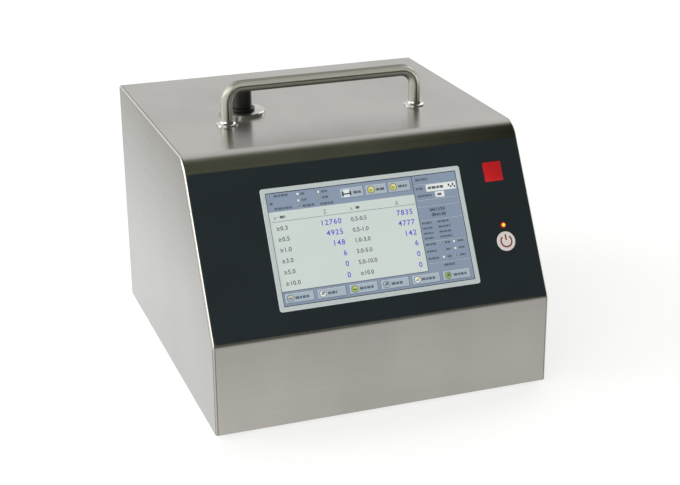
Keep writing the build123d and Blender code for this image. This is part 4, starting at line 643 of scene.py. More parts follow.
@dataclass(frozen=True)
class LitInk(Finish):
    """A colour of the display's picture: it glows a little by itself, with the pixel rows just told apart."""

    glow: float = 0.35

    def dress(self, graph: Graph) -> None:
        """Feed the picture's colour to both the surface and its glow."""
        across = graph.noise(graph.position((2.0, 2600.0, 2600.0)), 1.0, 0.0)
        rows = graph.reach(across, 0.99, 1.01)
        cloud = graph.reach(graph.noise(graph.position(), 14.0, 2.0), 0, 1)
        tint = graph.mixed(cloud, scaled(self.colour, 1 - self.patchy), scaled(self.colour, 1 + self.patchy))
        shade = graph.add("ShaderNodeMix", data_type="RGBA", blend_type="MULTIPLY")
        shade.inputs[0].default_value = 1.0
        grey = graph.add("ShaderNodeCombineColor")
        for channel in ("Red", "Green", "Blue"):
            graph.feed(rows, grey.inputs[channel])
        graph.feed(tint, shade.inputs[6])
        graph.feed(grey.outputs[0], shade.inputs[7])
        graph.feed(shade.outputs[2], graph.shader.inputs["Base Color"])
        graph.feed(shade.outputs[2], graph.shader.inputs["Emission Color"])
        graph.set(Emission_Strength=self.glow, Roughness=self.roughness)


@dataclass(frozen=True)
class LampLens(Finish):
    """The power lamp's lens: a bright amber core that reddens towards its rim."""

    core: Colour = (1.0, 0.46, 0.06)
    centre: Point = (108.2, -122.3, 128.0)
    radius: float = 2.4
    glow: float = 3.0

    def dress(self, graph: Graph) -> None:
        """Feed a glow that fades from the core outwards."""
        length = graph.add("ShaderNodeVectorMath", operation="LENGTH")
        graph.feed(graph.position((1, 1, 1), self.centre), length.inputs[0])
        out = graph.reach(length.outputs["Value"], 0, 1, 0.35 * self.radius * MM, 0.9 * self.radius * MM)
        tint = graph.mixed(out, self.core, self.colour)
        graph.feed(tint, graph.shader.inputs["Base Color"])
        graph.feed(tint, graph.shader.inputs["Emission Color"])
        strength = graph.reach(out, self.glow, self.glow * 0.12, 0, 1)
        graph.feed(strength, graph.shader.inputs["Emission Strength"])
        graph.set(Roughness=self.roughness, Coat_Weight=0.6)


STEEL = BrushedSteel("brushed_steel", "brushed_case", (0.58, 0.565, 0.54), 0.23, 1.0, relief=0.0025)
HANDLE_STEEL = SatinRod("handle_steel", "satin_handle", (0.44, 0.43, 0.37), 0.34, 0.55, patchy=0.03)
COLLAR_STEEL = DrawnMetal("collar_steel", "satin_handle", (0.72, 0.71, 0.68), 0.18, 1.0, relief=0.002)
TURNED_STEEL = DrawnMetal("turned_steel", "polished_inlet", (0.62, 0.61, 0.58), 0.2, 1.0, relief=0.003)
SCREW_STEEL = DrawnMetal(
    "screw_steel", "fasteners", (0.58, 0.57, 0.55), 0.26, 1.0, relief=0.003, stretch=(700, 700, 700)
)
OVERLAY = Finish(
    "overlay_film", "dark_overlay", srgb(38, 47, 52), 0.36, grain=1500, relief=0.004, patchy=0.05
)
BEZEL = Finish(
    "bezel_plastic", "white_bezel", srgb(228, 238, 238), 0.4, grain=1400, relief=0.006, patchy=0.02
)
PANE = Finish(
    "pane_black", "touch_pane", srgb(34, 38, 44), 0.12, grain=300, relief=0.001, patchy=0.04, coat=0.5
)
# The white key is given a faint painted glow that lifts its brightness.
KEY_WHITE_PAINTED_GLOW = Finish(
    "key_white_painted_glow", "white_key", srgb(250, 240, 237), 0.32, grain=1400, relief=0.004, patchy=0.01, glow=0.05
)
SYMBOL_RED = Finish("symbol_red", "amber_lens", srgb(138, 14, 26), 0.4, grain=1400, relief=0.003, patchy=0.06)
LENS = LampLens("lamp_lens", "amber_lens", (0.30, 0.012, 0.008), 0.25)
BADGE_RED = Finish("badge_red", "dark_overlay", srgb(222, 16, 24), 0.6, grain=1400, relief=0.003, patchy=0.04)
BLACK_CAP = Finish("cap_rubber", "black_rubber", srgb(11, 12, 11), 0.34, grain=1300, relief=0.01, patchy=0.12)
FOOT_RUBBER = Finish(
    "foot_rubber", "black_rubber", srgb(30, 30, 31), 0.7, grain=1100, relief=0.03, patchy=0.15
)
HOSE = Finish("silicone_hose", "silicone_hose", srgb(196, 198, 190), 0.4, grain=600, relief=0.01, patchy=0.05)
BRASS = DrawnMetal("brass_fitting", "brass_fitting", (0.62, 0.46, 0.22), 0.25, 1.0, relief=0.004)
MODULE = Finish("display_module", "display_module", srgb(60, 62, 66), 0.35, 0.6, grain=800, relief=0.01)
ZINC = DrawnMetal(
    "zinc_sheet", "zinc_sheet", (0.5, 0.51, 0.53), 0.38, 1.0, relief=0.01, stretch=(220, 220, 220), streak=0.18
)
ALLOY = DrawnMetal(
    "machined_alloy", "machined_alloy", (0.63, 0.64, 0.66), 0.33, 1.0, relief=0.006, stretch=(30, 1400, 1400)
)
PUMP = Finish("pump_body", "pump_body", srgb(70, 76, 84), 0.5, 0.3, grain=700, relief=0.03)
MOTOR = DrawnMetal("motor_can", "motor_can", (0.42, 0.42, 0.43), 0.35, 1.0, relief=0.006)
PLASTIC = Finish(
    "black_plastic", "black_plastic", srgb(32, 33, 35), 0.42, grain=1100, relief=0.02, patchy=0.1
)
FILTER = Finish("filter_body", "filter_body", srgb(214, 216, 214), 0.35, grain=700, relief=0.01)
WIRE = DrawnMetal(
    "guard_wire", "guard_wire", (0.66, 0.66, 0.65), 0.22, 1.0, relief=0.002, stretch=(400, 400, 400)
)
SHELL = DrawnMetal(
    "socket_shell", "socket_shell", (0.6, 0.6, 0.6), 0.28, 1.0, relief=0.003, stretch=(500, 500, 500)
)
BOARD = Finish("circuit_board", "circuit_board", srgb(24, 84, 52), 0.4, grain=500, relief=0.02, patchy=0.2)
BATTERY = Finish("battery_wrap", "battery_wrap", srgb(40, 74, 140), 0.3, grain=500, relief=0.02)
SUPPLY = DrawnMetal(
    "supply_case", "supply_case", (0.55, 0.56, 0.57), 0.36, 1.0, relief=0.01, stretch=(200, 200, 200)
)
GOLD = DrawnMetal("contact_gold", "brass_fitting", (0.75, 0.55, 0.24), 0.25, 1.0, relief=0.002)
MARK_WHITE = Finish(
    "mark_white", "white_key", srgb(225, 226, 224), 0.45, grain=1400, relief=0.003, patchy=0.03
)

NODE_FINISHES: dict[Finish, tuple[str, ...]] = {
    STEEL: ("housing_shell", "base_plate", "rear_panel"),
    HANDLE_STEEL: ("handle_bar",),
    COLLAR_STEEL: ("handle_collars",),
    TURNED_STEEL: ("inlet_fitting",),
    SCREW_STEEL: (
        "board_screws", "case_screws", "fan_screws", "foot_screws", "handle_screws", "handle_washers",
        "m3_nuts", "mains_inlet_screws", "serial_posts", "inlet_nut", "exhaust_nut",
    ),
    OVERLAY: ("panel_overlay",),
    BEZEL: ("screen_bezel",),
    PANE: ("touch_glass",),
    KEY_WHITE_PAINTED_GLOW: ("power_button",),
    LENS: ("power_led",),
    BLACK_CAP: ("inlet_cap",),
    FOOT_RUBBER: ("rubber_feet", "pump_dampers", "inlet_gasket"),
    HOSE: ("sample_hose", "suction_hose", "exhaust_hoses"),
    BRASS: ("exhaust_port", "board_standoffs", "key_board_sleeves"),
    MODULE: ("lcd_module",),
    ZINC: ("display_bracket", "io_bracket", "sensor_stand", "pump_plate"),
    ALLOY: ("optical_sensor", "laser_module"),
    PUMP: ("vacuum_pump", "detector_module"),
    MOTOR: ("pump_motor",),
    PLASTIC: (
        "fan_frame", "fan_rotor", "mains_inlet", "mains_rocker", "rocker_housing", "button_switch",
        "filter_saddle",
    ),
    FILTER: ("exhaust_filter",),
    WIRE: ("fan_guard",),
    SHELL: ("network_port", "serial_port"),
    BOARD: ("main_board", "key_board", "io_board"),
    BATTERY: ("battery_pack",),
    SUPPLY: ("power_supply",),
}


def dress_nodes() -> None:
    """Give every CAD node its finish through its object's material slots."""
    dressed = set()
    for finish, names in NODE_FINISHES.items():
        for name in names:
            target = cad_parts[name]
            if not target.material_slots:
                target.data.materials.append(finish.material())
            for place in target.material_slots:
                place.material = finish.material()
            dressed.add(name)
    for name in sorted(set(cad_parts) - dressed):
        LOG.warning("CAD node %s has no finish", name)


# ---- display ------------------------------------------------------------------------------------
class Ink(Enum):
    """The colours of the display's picture."""

    GROUND = LitInk("ink_ground", "display_module", srgb(137, 151, 172), 0.22, glow=0.36, patchy=0.03)
    TABLE = LitInk("ink_table", "display_module", srgb(203, 213, 209), 0.22, glow=0.37, patchy=0.02)
    WHITE = LitInk("ink_white", "display_module", srgb(228, 233, 233), 0.22, glow=0.34, patchy=0.01)
    FACE = LitInk("ink_face", "display_module", srgb(168, 181, 193), 0.22, glow=0.36, patchy=0.03)
    EDGE = LitInk("ink_edge", "display_module", srgb(92, 104, 118), 0.22, glow=0.35, patchy=0.03)
    DARK = LitInk("ink_dark", "display_module", srgb(52, 60, 70), 0.22, glow=0.3, patchy=0.05)
    LABEL = LitInk("ink_label", "display_module", srgb(98, 104, 108), 0.22, glow=0.3, patchy=0.05)
    NUMBER = LitInk("ink_number", "display_module", srgb(84, 88, 196), 0.22, glow=0.45, patchy=0.03)
    WORD = LitInk("ink_word", "display_module", srgb(96, 106, 120), 0.22, glow=0.35, patchy=0.05)
    GREEN = LitInk("ink_green", "display_module", srgb(150, 176, 88), 0.22, glow=0.45, patchy=0.1)
    AMBER = LitInk("ink_amber", "display_module", srgb(214, 196, 92), 0.22, glow=0.45, patchy=0.1)


@dataclass(frozen=True)
class Patch:
    """A flat rectangle of the picture, from its lower left corner, in millimetres of the picture."""

    left: float
    low: float
    right: float
    high: float
    layer: int = 1


@dataclass
class DisplayPicture:
    """What the lit display shows: a table of counts by size channel, a side column and two rows of keys."""

    width: float = 154.1
    height: float = 85.9
    centre_v: float = 65.2
    glass_front: float = 0.6
    layer_step: float = 0.03
    fattening: float = 0.07
    figure_share: float = 0.728
    word_lengths: tuple[float, ...] = (2.1, 3.0, 1.6, 2.6, 3.4)
    word_gap: float = 0.55
    shortest_word: float = 0.5
    margin: float = 0.55
    channels: tuple[str, ...] = ("≥0.3", "≥0.5", "≥1.0", "≥3.0", "≥5.0", "≥10.0")
    bands: tuple[str, ...] = ("0.3-0.5", "0.5-1.0", "1.0-3.0", "3.0-5.0", "5.0-10.0", "≥10.0")
    sums: tuple[str, ...] = ("12760", "4925", "148", "6", "0", "0")
    steps: tuple[str, ...] = ("7835", "4777", "142", "6", "0", "0")
    baselines: tuple[float, ...] = (57.0, 48.8, 40.7, 32.4, 24.0, 15.5)
    key_pitch: float = 25.3
    patches: dict[Ink, list[Patch]] = field(default_factory=dict)
    shapes: dict[Ink, list[Piece]] = field(default_factory=dict)

    def place(self) -> Matrix:
        """Return the picture's plane, its origin at the lower left corner of the picture."""
        return lifted(FACE, -self.width / 2, self.centre_v - self.height / 2, self.glass_front)

    def patch(self, ink: Ink, left: float, low: float, right: float, high: float, layer: int = 1) -> None:
        """Note one rectangle of the picture."""
        self.patches.setdefault(ink, []).append(Patch(left, low, right, high, layer))

    def shape(self, ink: Ink, piece: Piece) -> None:
        """Note one modelled shape of the picture."""
        self.shapes.setdefault(ink, []).append(piece)

    def words(
        self, ink: Ink, text: str, x: float, y: float, height: float, align: str = "LEFT", gap: float = 1.0,
        layer: int = 3,
    ) -> None:
        """Set one line of figures as a thin mesh.

        Args:
            ink: Its colour.
            text: The figures.
            x: Left or right end in millimetres, by the alignment.
            y: Baseline.
            height: Height of a figure.
            align: LEFT or RIGHT.
            gap: Spacing between figures, 1 for the font's own.
            layer: Layer of the picture it lies on.
        """
        put_down()
        bpy.ops.object.text_add()
        line = bpy.context.active_object
        line.data.body = text
        line.data.size = height * MM / self.figure_share
        line.data.align_x = align
        line.data.space_character = gap
        line.data.resolution_u = 3
        line.data.offset = self.fattening * MM if text[-1].isdigit() else 0.0
        line.data.extrude = self.layer_step * MM / 2
        bpy.ops.object.convert(target="MESH")
        line = bpy.context.active_object
        line.location = (x * MM, y * MM, (layer + 0.5) * self.layer_step * MM)
        bpy.ops.object.transform_apply(location=True, rotation=True, scale=True)
        self.shape(ink, line)

    def dot(self, ink: Ink, x: float, y: float, radius: float, layer: int = 3, sides: int = 20) -> None:
        """Model a small round dot of the picture."""
        low = layer * self.layer_step
        self.shape(ink, disc(radius, self.layer_step, low, sides, (x, y, 0)))

    def radio(self, x: float, y: float, chosen: bool) -> None:
        """Model a round choice button, filled if chosen."""
        self.dot(Ink.EDGE, x, y, 1.3, 2)
        self.dot(Ink.WHITE, x, y, 1.02, 3)
        if chosen:
            self.dot(Ink.DARK, x, y, 0.72, 4)

    def bars(self, ink: Ink, rows: Sequence[tuple[float, float, float, float]], layer: int = 3) -> None:
        """Note bars that stand for words, broken into short words.

        Args:
            ink: Their colour.
            rows: Left and right end, middle height and thickness of each bar.
            layer: Layer of the picture they lie on.
        """
        count = len(self.word_lengths)
        for left, right, middle, thick in rows:
            start = left
            index = int(left * 7 + middle * 3) % count
            while start < right - self.shortest_word:
                end = min(right, start + self.word_lengths[index % count])
                self.patch(ink, start, middle - thick / 2, end, middle + thick / 2, layer)
                start = end + self.word_gap
                index += 1

    def key(self, left: float, low: float, right: float, high: float) -> None:
        """Note one on-screen key: dark rim, light upper edge and face."""
        self.patch(Ink.EDGE, left, low, right, high, 2)
        self.patch(Ink.WHITE, left + 0.25, low + 0.35, right - 0.35, high - 0.2, 3)
        self.patch(Ink.FACE, left + 0.5, low + 0.35, right - 0.35, high - 0.45, 4)

    def table(self) -> None:
        """Lay out the table of counts."""
        self.patch(Ink.TABLE, self.margin, 11.4, 117.2, 71.3, 1)
        self.patch(Ink.EDGE, 2.3, 63.65, 117.2, 63.95, 2)
        self.patch(Ink.DARK, self.margin, 11.0, 117.5, 11.4, 2)
        self.patch(Ink.DARK, 117.2, 11.0, 117.6, 85.3, 2)
        self.patch(Ink.LABEL, 6.0, 66.8, 7.2, 67.2)
        self.words(Ink.LABEL, "≥", 3.6, 65.6, 2.6)
        self.bars(Ink.LABEL, ((8.6, 12.9, 67.0, 1.9),))
        self.words(Ink.LABEL, "Σ", 42.7, 65.5, 3.0)
        self.words(Ink.LABEL, "≥", 64.0, 65.6, 2.6)
        self.bars(Ink.LABEL, ((68.6, 72.6, 67.0, 1.9),))
        self.words(Ink.LABEL, "Δ", 100.5, 65.2, 3.0)
        rows = zip(self.baselines, self.channels, self.sums, self.bands, self.steps)
        for base, channel, total, band, step in rows:
            self.words(Ink.LABEL, channel, 4.4, base, 3.4, gap=1.06)
            self.words(Ink.NUMBER, total, 55.7, base - 0.3, 4.2, "RIGHT", 1.2)
            self.words(Ink.LABEL, band, 63.2, base, 3.3, gap=1.02)
            self.words(Ink.NUMBER, step, 113.5, base - 0.3, 4.2, "RIGHT", 1.2)

    def upper_keys(self) -> None:
        """Lay out the row above the table: choices at the left, three keys at the right."""
        choices = ((3.5, 83.2, True), (25.3, 82.9, False), (25.1, 77.9, False), (24.9, 73.6, True),
                   (41.6, 82.5, False), (41.1, 78.1, True))
        for x, y, chosen in choices:
            self.radio(x, y, chosen)
        self.bars(Ink.WORD, ((6.7, 17.6, 83.2, 1.7), (27.6, 30.6, 82.7, 1.7), (27.6, 31.4, 78.0, 1.7),
                             (27.6, 36.8, 73.4, 1.7), (44.0, 48.5, 82.4, 1.7), (44.0, 49.0, 78.0, 1.7),
                             (41.5, 52.0, 73.2, 1.7), (2.7, 5.0, 77.6, 1.7), (5.8, 19.1, 73.4, 1.7)))
        for left, right in ((58.6, 77.2), (79.0, 96.2), (97.6, 115.4)):
            self.key(left, 74.9, right, 82.9)
        self.bars(Ink.LABEL, ((69.0, 75.6, 78.7, 1.9), (87.4, 94.0, 78.8, 1.9), (105.6, 112.6, 79.0, 1.9)), 5)
        self.patch(Ink.DARK, 59.9, 77.0, 67.2, 80.2, 5)
        self.patch(Ink.WHITE, 61.2, 78.8, 65.9, 81.6, 6)
        self.patch(Ink.WHITE, 61.2, 76.0, 65.9, 77.8, 6)
        for x in (83.4, 101.4):
            self.dot(Ink.EDGE, x, 79.2, 3.0, 5)
            self.dot(Ink.AMBER, x, 79.2, 2.5, 6)
            self.dot(Ink.GREEN, x - 0.3, 78.9, 1.5, 7)
            self.patch(Ink.WHITE, x - 0.9, 80.0, x + 1.7, 80.7, 8)

    def side_column(self) -> None:
        """Lay out the narrow column at the right."""
        for y in (78.4, 66.3, 61.1, 50.6, 33.9, 17.1):
            self.patch(Ink.EDGE, 118.6, y - 0.15, 152.9, y + 0.15, 2)
            self.patch(Ink.WHITE, 118.6, y - 0.35, 152.9, y - 0.15, 2)
        self.bars(Ink.WORD, ((120.0, 130.0, 82.0, 1.9), (119.4, 125.6, 75.0, 1.6), (119.6, 131.6, 69.2, 1.6)))
        self.patch(Ink.WHITE, 127.7, 72.0, 152.5, 77.6, 2)
        self.bars(Ink.LABEL, ((129.2, 143.0, 74.8, 2.0),))
        self.patch(Ink.WHITE, 134.3, 66.9, 141.8, 71.4, 2)
        self.bars(Ink.LABEL, ((136.0, 140.0, 69.1, 1.8),))
        for turn, (x, y) in enumerate(((146.0, 75.4), (147.6, 74.2), (149.4, 75.6), (150.6, 74.0))):
            self.patch(Ink.DARK, x, y - 0.9, x + 1.2, y + 0.9 - 0.3 * (turn % 2), 3)
        self.words(Ink.DARK, "04/11/24", 127.4, 56.6, 2.5, gap=1.02)
        self.words(Ink.DARK, "09:41:05", 128.4, 52.6, 2.5, gap=1.0)
        self.bars(Ink.WORD, ((132.0, 142.0, 48.0, 1.5), (132.0, 142.0, 44.0, 1.5), (132.0, 142.0, 40.0, 1.5),
                             (132.0, 142.0, 36.2, 1.5), (119.2, 127.0, 48.0, 1.4), (119.2, 127.0, 44.0, 1.4),
                             (119.2, 127.0, 40.0, 1.4), (119.2, 127.0, 36.2, 1.4)))
        for y, first in ((31.4, True), (26.0, True), (20.4, False)):
            self.bars(Ink.WORD, ((118.9, 127.6, y, 1.6), (134.8, 139.0, y, 1.5), (145.4, 150.0, y, 1.5)))
            self.radio(131.8, y, first)
            self.radio(142.4, y, not first)
        self.bars(Ink.WORD, ((131.0, 139.5, 14.2, 1.7),))

    def lower_keys(self) -> None:
        """Lay out the row of six keys below the table."""
        words = ((9.8, 20.6), (35.4, 42.6), (60.6, 71.6), (86.0, 95.0), (110.6, 121.6), (137.0, 147.6))
        for index, (left, right) in enumerate(words):
            start = 2.0 + index * self.key_pitch
            self.key(start, 2.2, start + 22.6, 9.5)
            self.bars(Ink.WORD, ((left, right, 5.8, 2.0),), 5)
            middle = start + 4.1
            self.dot(Ink.EDGE, middle, 5.9, 2.75, 5)
            self.dot((Ink.FACE, Ink.WHITE, Ink.GREEN)[index % 3], middle, 5.9, 2.35, 6)
            self.patch(Ink.DARK, middle - 1.3, 5.3, middle + 1.2, 6.0, 7)
            self.patch((Ink.AMBER, Ink.EDGE)[index % 2], middle - 0.5, 6.3, middle + 1.7, 7.4, 7)

    def stamp(self, ink: Ink) -> None:
        """Model all rectangles of one ink as one mesh of thin blocks."""
        step = self.layer_step
        blocks = self.patches.get(ink, [])
        if not blocks:
            return
        put_down()
        for index, item in enumerate(blocks):
            middle = ((item.left + item.right) / 2, (item.low + item.high) / 2, (item.layer + 0.5) * step)
            size = (item.right - item.left, item.high - item.low, step)
            bpy.ops.mesh.primitive_cube_add(
                size=1, location=[c * MM for c in middle], scale=[s * MM for s in size]
            )
            if index == 0:
                piece = bpy.context.active_object
                bpy.ops.object.transform_apply(location=True, rotation=True, scale=True)
                bpy.ops.object.mode_set(mode="EDIT")
        bpy.ops.object.mode_set(mode="OBJECT")
        self.shape(ink, piece)

    def build(self) -> None:
        """Model the whole picture, one piece for each ink."""
        edge = self.margin
        self.patch(Ink.GROUND, edge, edge, self.width - edge, self.height - edge, 0)
        self.table()
        self.upper_keys()
        self.side_column()
        self.lower_keys()
        for ink in Ink:
            self.stamp(ink)
            shapes = self.shapes.get(ink, [])
            if shapes:
                name = "picture_" + ink.name.lower()
                seat(welded(shapes), name, self.place(), CASE, ink.value)


# ---- control face -------------------------------------------------------------------------------
@dataclass
class PowerSymbol:
    """The stand-by sign on the round key: an open ring with a bar in its gap."""

    centre: tuple[float, float] = (108.2, 48.0)
    key_top: float = 1.4
    ring_radius: float = 4.5
    stroke: float = 1.15
    gap: float = 38.0
    bar_low: float = 0.7
    bar_high: float = 5.3
    rise: float = 0.06

    def in_gap(self, mesh: bpy.types.Mesh, point: bpy.types.MeshVertex) -> bool:
        """Tell whether a point of the ring lies in its gap."""
        angle = math.degrees(math.atan2(point.co.x, point.co.y))
        return abs(angle) < self.gap

    def build(self) -> None:
        """Model the sign and lay it on the key."""
        ring = hoop(self.ring_radius, self.stroke / 2, 72, 8)
        ring.scale.z = 2 * self.rise / self.stroke
        bpy.ops.object.transform_apply(location=False, rotation=False, scale=True)
        choose(ring, Pick.POINTS, self.in_gap)
        bpy.ops.mesh.delete(type="VERT")
        bpy.ops.mesh.select_all(action="DESELECT")
        bpy.ops.mesh.select_non_manifold()
        bpy.ops.mesh.fill_holes(sides=0)
        put_down()
        bar = block(self.stroke, self.bar_high - self.bar_low, 2 * self.rise, 0.25, -self.rise)
        bar.location.y = (self.bar_high + self.bar_low) / 2 * MM
        pick_up(bar)
        bpy.ops.object.transform_apply(location=True, rotation=True, scale=True)
        place = lifted(FACE, *self.centre, self.key_top)
        seat(welded((ring, bar)), "power_sign", place, POWER_KEY, SYMBOL_RED)


@dataclass
class RedBadge:
    """A plain red square stuck on the overlay's upper right corner."""

    centre: tuple[float, float] = (108.15, 103.65)
    side: float = 15.4
    corner: float = 0.6
    thickness: float = 0.35
    overlay_top: float = 0.8

    def build(self) -> None:
        """Model the badge and lay it on the overlay."""
        piece = block(self.side, self.side, self.thickness, self.corner)
        finish_edges(piece, 0.12)
        seat(piece, "red_badge", lifted(FACE, *self.centre, self.overlay_top), CASE, BADGE_RED)


# ---- fasteners ----------------------------------------------------------------------------------
@dataclass
class SocketScrew:
    """A low button-head screw with a hexagon socket."""

    head_radius: float = 3.0
    head_height: float = 1.8
    socket_radius: float = 1.25
    socket_depth: float = 1.2

    def model(self) -> Piece:
        """Model one head, standing on z = 0."""
        head = disc(self.head_radius, self.head_height, 0.0, 36)
        choose(head, Pick.FACES, lambda mesh, face: face.normal.z > 0.9)
        bpy.ops.mesh.inset(thickness=0.45 * MM)
        put_down()
        finish_edges(head, 0.5, 3)
        socket = disc(self.socket_radius, self.socket_depth, self.head_height - self.socket_depth + 0.02, 6)
        cut_out(head, socket)
        return head


@dataclass
class CaseScrews:
    """Socket screws of the base and rear panels in place of the plain CAD ones."""

    screw: SocketScrew = field(default_factory=SocketScrew)
    side_x: float = 127.5
    base_ys: tuple[float, ...] = (-83.0, -7.0, 69.0)
    rear_zs: tuple[float, ...] = (61.0, 141.0)
    top_z: float = 190.5
    front_y: float = -144.5
    rear_y: float = 130.5
    base_half: float = 38.0
    rear_half: float = 40.0
    floor_z: float = 4.0
    shank_radius: float = 1.5
    shank_length: float = 4.0

    def one(self) -> Piece:
        """Model one whole screw: head above z = 0 and shank below."""
        shank = disc(self.shank_radius, self.shank_length + 0.2, -self.shank_length, 20)
        return welded((self.screw.model(), shank))

    def build(self) -> None:
        """Model one screw and set a copy in every place."""
        base = [(side * self.side_x, y) for y in self.base_ys for side in (-1, 1)]
        base += [(side * self.base_half, self.front_y) for side in (-1, 1)]
        base += [(side * self.rear_half, self.rear_y) for side in (-1, 1)]
        rear = [(side * self.side_x, z) for z in self.rear_zs for side in (-1, 1)]
        rear += [(side * self.rear_half, self.top_z) for side in (-1, 1)]
        down = Matrix.Translation((0, 0, self.floor_z * MM)) @ Matrix.Rotation(math.pi, 4, "X")
        rows = (
            ("base_screws", [(x, -y) for x, y in base], down),
            ("rear_screws", [(-x, z) for x, z in rear], REAR),
        )
        for name, spots, plane in rows:
            piece = seat(repeated(self.one(), spots), name, plane, CASE, SCREW_STEEL)
            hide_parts("case_screws")


# ---- fan ----------------------------------------------------------------------------------------
@dataclass
class FanGuard:
    """Welded wire guard in place of the faceted CAD one."""

    centre: tuple[float, float] = (0.0, 138.0)
    rings: tuple[float, ...] = (8.0, 14.5, 21.0, 27.5)
    wire: float = 0.9
    spoke_height: float = 1.0
    ring_height: float = 1.9
    eye_reach: float = 35.355
    eye_radius: float = 4.0
    eye_bore: float = 1.9
    eye_thickness: float = 1.4

    def spoke(self) -> Piece:
        """Model one spoke along X with its flattened screw eye."""
        put_down()
        length = self.eye_reach - self.eye_radius + 1.0 - self.rings[0]
        middle = (self.rings[0] + length / 2) * MM
        bpy.ops.mesh.primitive_cylinder_add(
            vertices=16, radius=self.wire * MM, depth=length * MM,
            location=(middle, 0, self.spoke_height * MM), rotation=(0, math.pi / 2, 0),
        )
        rod = bpy.context.active_object
        bpy.ops.object.transform_apply(location=True, rotation=True, scale=True)
        finish_edges(rod, 0.3, 3)
        eye = disc(self.eye_radius, self.eye_thickness, 0.0, 40, (self.eye_reach, 0, 0))
        bore = disc(self.eye_bore, 3 * self.eye_thickness, -self.eye_thickness, 32, (self.eye_reach, 0, 0))
        cut_out(eye, bore)
        finish_edges(eye, 0.3, 2)
        return welded((rod, eye))

    def build(self) -> None:
        """Model rings and spokes and set the guard on the rear panel."""
        pieces = []
        for radius in self.rings:
            ring = hoop(radius, self.wire, 72, 12, self.ring_height)
            bpy.ops.object.shade_smooth()
            pieces.append(ring)
        pattern = self.spoke()
        pieces += [copied(pattern, (0, 0, 0), angle) for angle in (45, 135, 225, 315)]
        bpy.data.objects.remove(pattern)
        piece = seat(welded(pieces), "wire_guard", behind(self.centre), CASE, WIRE)
        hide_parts("fan_guard")


# ---- rear services ------------------------------------------------------------------------------
@dataclass
class MainsPins:
    """Nickel sleeves on the three pins of the mains inlet."""

    centre: tuple[float, float] = (-90.0, 60.0)
    places: tuple[tuple[float, float], ...] = ((-7.0, -2.0), (0.0, 2.0), (7.0, -2.0))
    width: float = 2.0
    height: float = 4.0
    tip: float = -3.0
    floor: float = -13.0
    skin: float = 0.06

    def build(self) -> None:
        """Model one pin with a rounded tip and set three."""
        length = self.tip - self.floor + self.skin
        pattern = block(self.width + 2 * self.skin, self.height + 2 * self.skin, length, 0.4, self.floor)
        finish_edges(pattern, 0.3, 2)
        seat(repeated(pattern, self.places), "mains_pins", behind(self.centre), CASE, SHELL)


@dataclass
class RockerMarks:
    """The I and O signs moulded on the mains rocker."""

    centre: tuple[float, float] = (-90.0, 100.0)
    pivot_out: float = -1.0
    tilt: float = 8.0
    crown: float = 4.0
    half: float = 6.0
    slope: float = 5.2
    upper_sink: float = 0.18
    lower_sink: float = 0.05

    def build(self) -> None:
        """Model both signs on the rocker's dished halves."""
        bar = block(0.8, 4.4, 0.5, 0.2, 0.0)
        loop = hoop(1.9, 0.4, 40, 8)
        base = behind(self.centre, self.pivot_out) @ Matrix.Rotation(math.radians(self.tilt), 4, "X")
        slope = math.radians(self.slope)
        upper = base @ Matrix.Translation((0, self.half * MM, (self.crown - self.upper_sink) * MM))
        upper = upper @ Matrix.Rotation(slope, 4, "X")
        lower = base @ Matrix.Translation((0, -self.half * MM, (self.crown - self.lower_sink) * MM))
        lower = lower @ Matrix.Rotation(-slope, 4, "X")
        seat(bar, "rocker_mark_on", upper, ROCKER, MARK_WHITE)
        seat(loop, "rocker_mark_off", lower, ROCKER, MARK_WHITE)


@dataclass
class DataSockets:
    """Contacts of the network socket, and the pin field of the serial one."""

    network: tuple[float, float] = (64.0, 126.3)
    serial: tuple[float, float] = (96.0, 125.9)
    contact_pitch: float = 1.02
    contact_count: int = 8
    serial_width: float = 16.4
    serial_height: float = 8.4
    serial_reach: float = 4.1
    hole_pitch: float = 2.76
    row_gap: float = 2.84

    def contacts(self) -> None:
        """Model the row of gold contact springs in the network socket."""
        pattern = block(0.45, 0.5, 8.0, 0.1, -9.0)
        choose(pattern, Pick.POINTS, lambda mesh, point: point.co.z > -2.0 * MM)
        bpy.ops.transform.translate(value=(0, 0.9 * MM, 0))
        put_down()
        start = -(self.contact_count - 1) / 2 * self.contact_pitch
        spots = [(start + n * self.contact_pitch, -3.9) for n in range(self.contact_count)]
        seat(repeated(pattern, spots), "network_contacts", behind(self.network), CASE, GOLD)

    def pin_field(self) -> None:
        """Model the serial connector's insulator face and its nine lined holes."""
        face = block(self.serial_width - 1.6, self.serial_height - 1.6, 0.25, 1.2, self.serial_reach)
        choose(face, Pick.POINTS, lambda mesh, point: point.co.y < 0)
        bpy.ops.transform.resize(value=(0.84, 1, 1), center_override=(0, 0, 0))
        put_down()
        finish_edges(face, 0.08, 1)
        place = behind(self.serial)
        seat(face, "serial_face", place, CASE, PLASTIC)
        spots = [((n - 2) * self.hole_pitch, self.row_gap / 2) for n in range(5)]
        spots += [((n - 1.5) * self.hole_pitch, -self.row_gap / 2) for n in range(4)]
        rim = hoop(0.55, 0.16, 18, 8, self.serial_reach + 0.27)
        bpy.ops.object.shade_smooth()
        seat(repeated(rim, spots), "serial_hole_rims", place, CASE, GOLD)

    def build(self) -> None:
        """Model the details of both sockets."""
        self.contacts()
        self.pin_field()


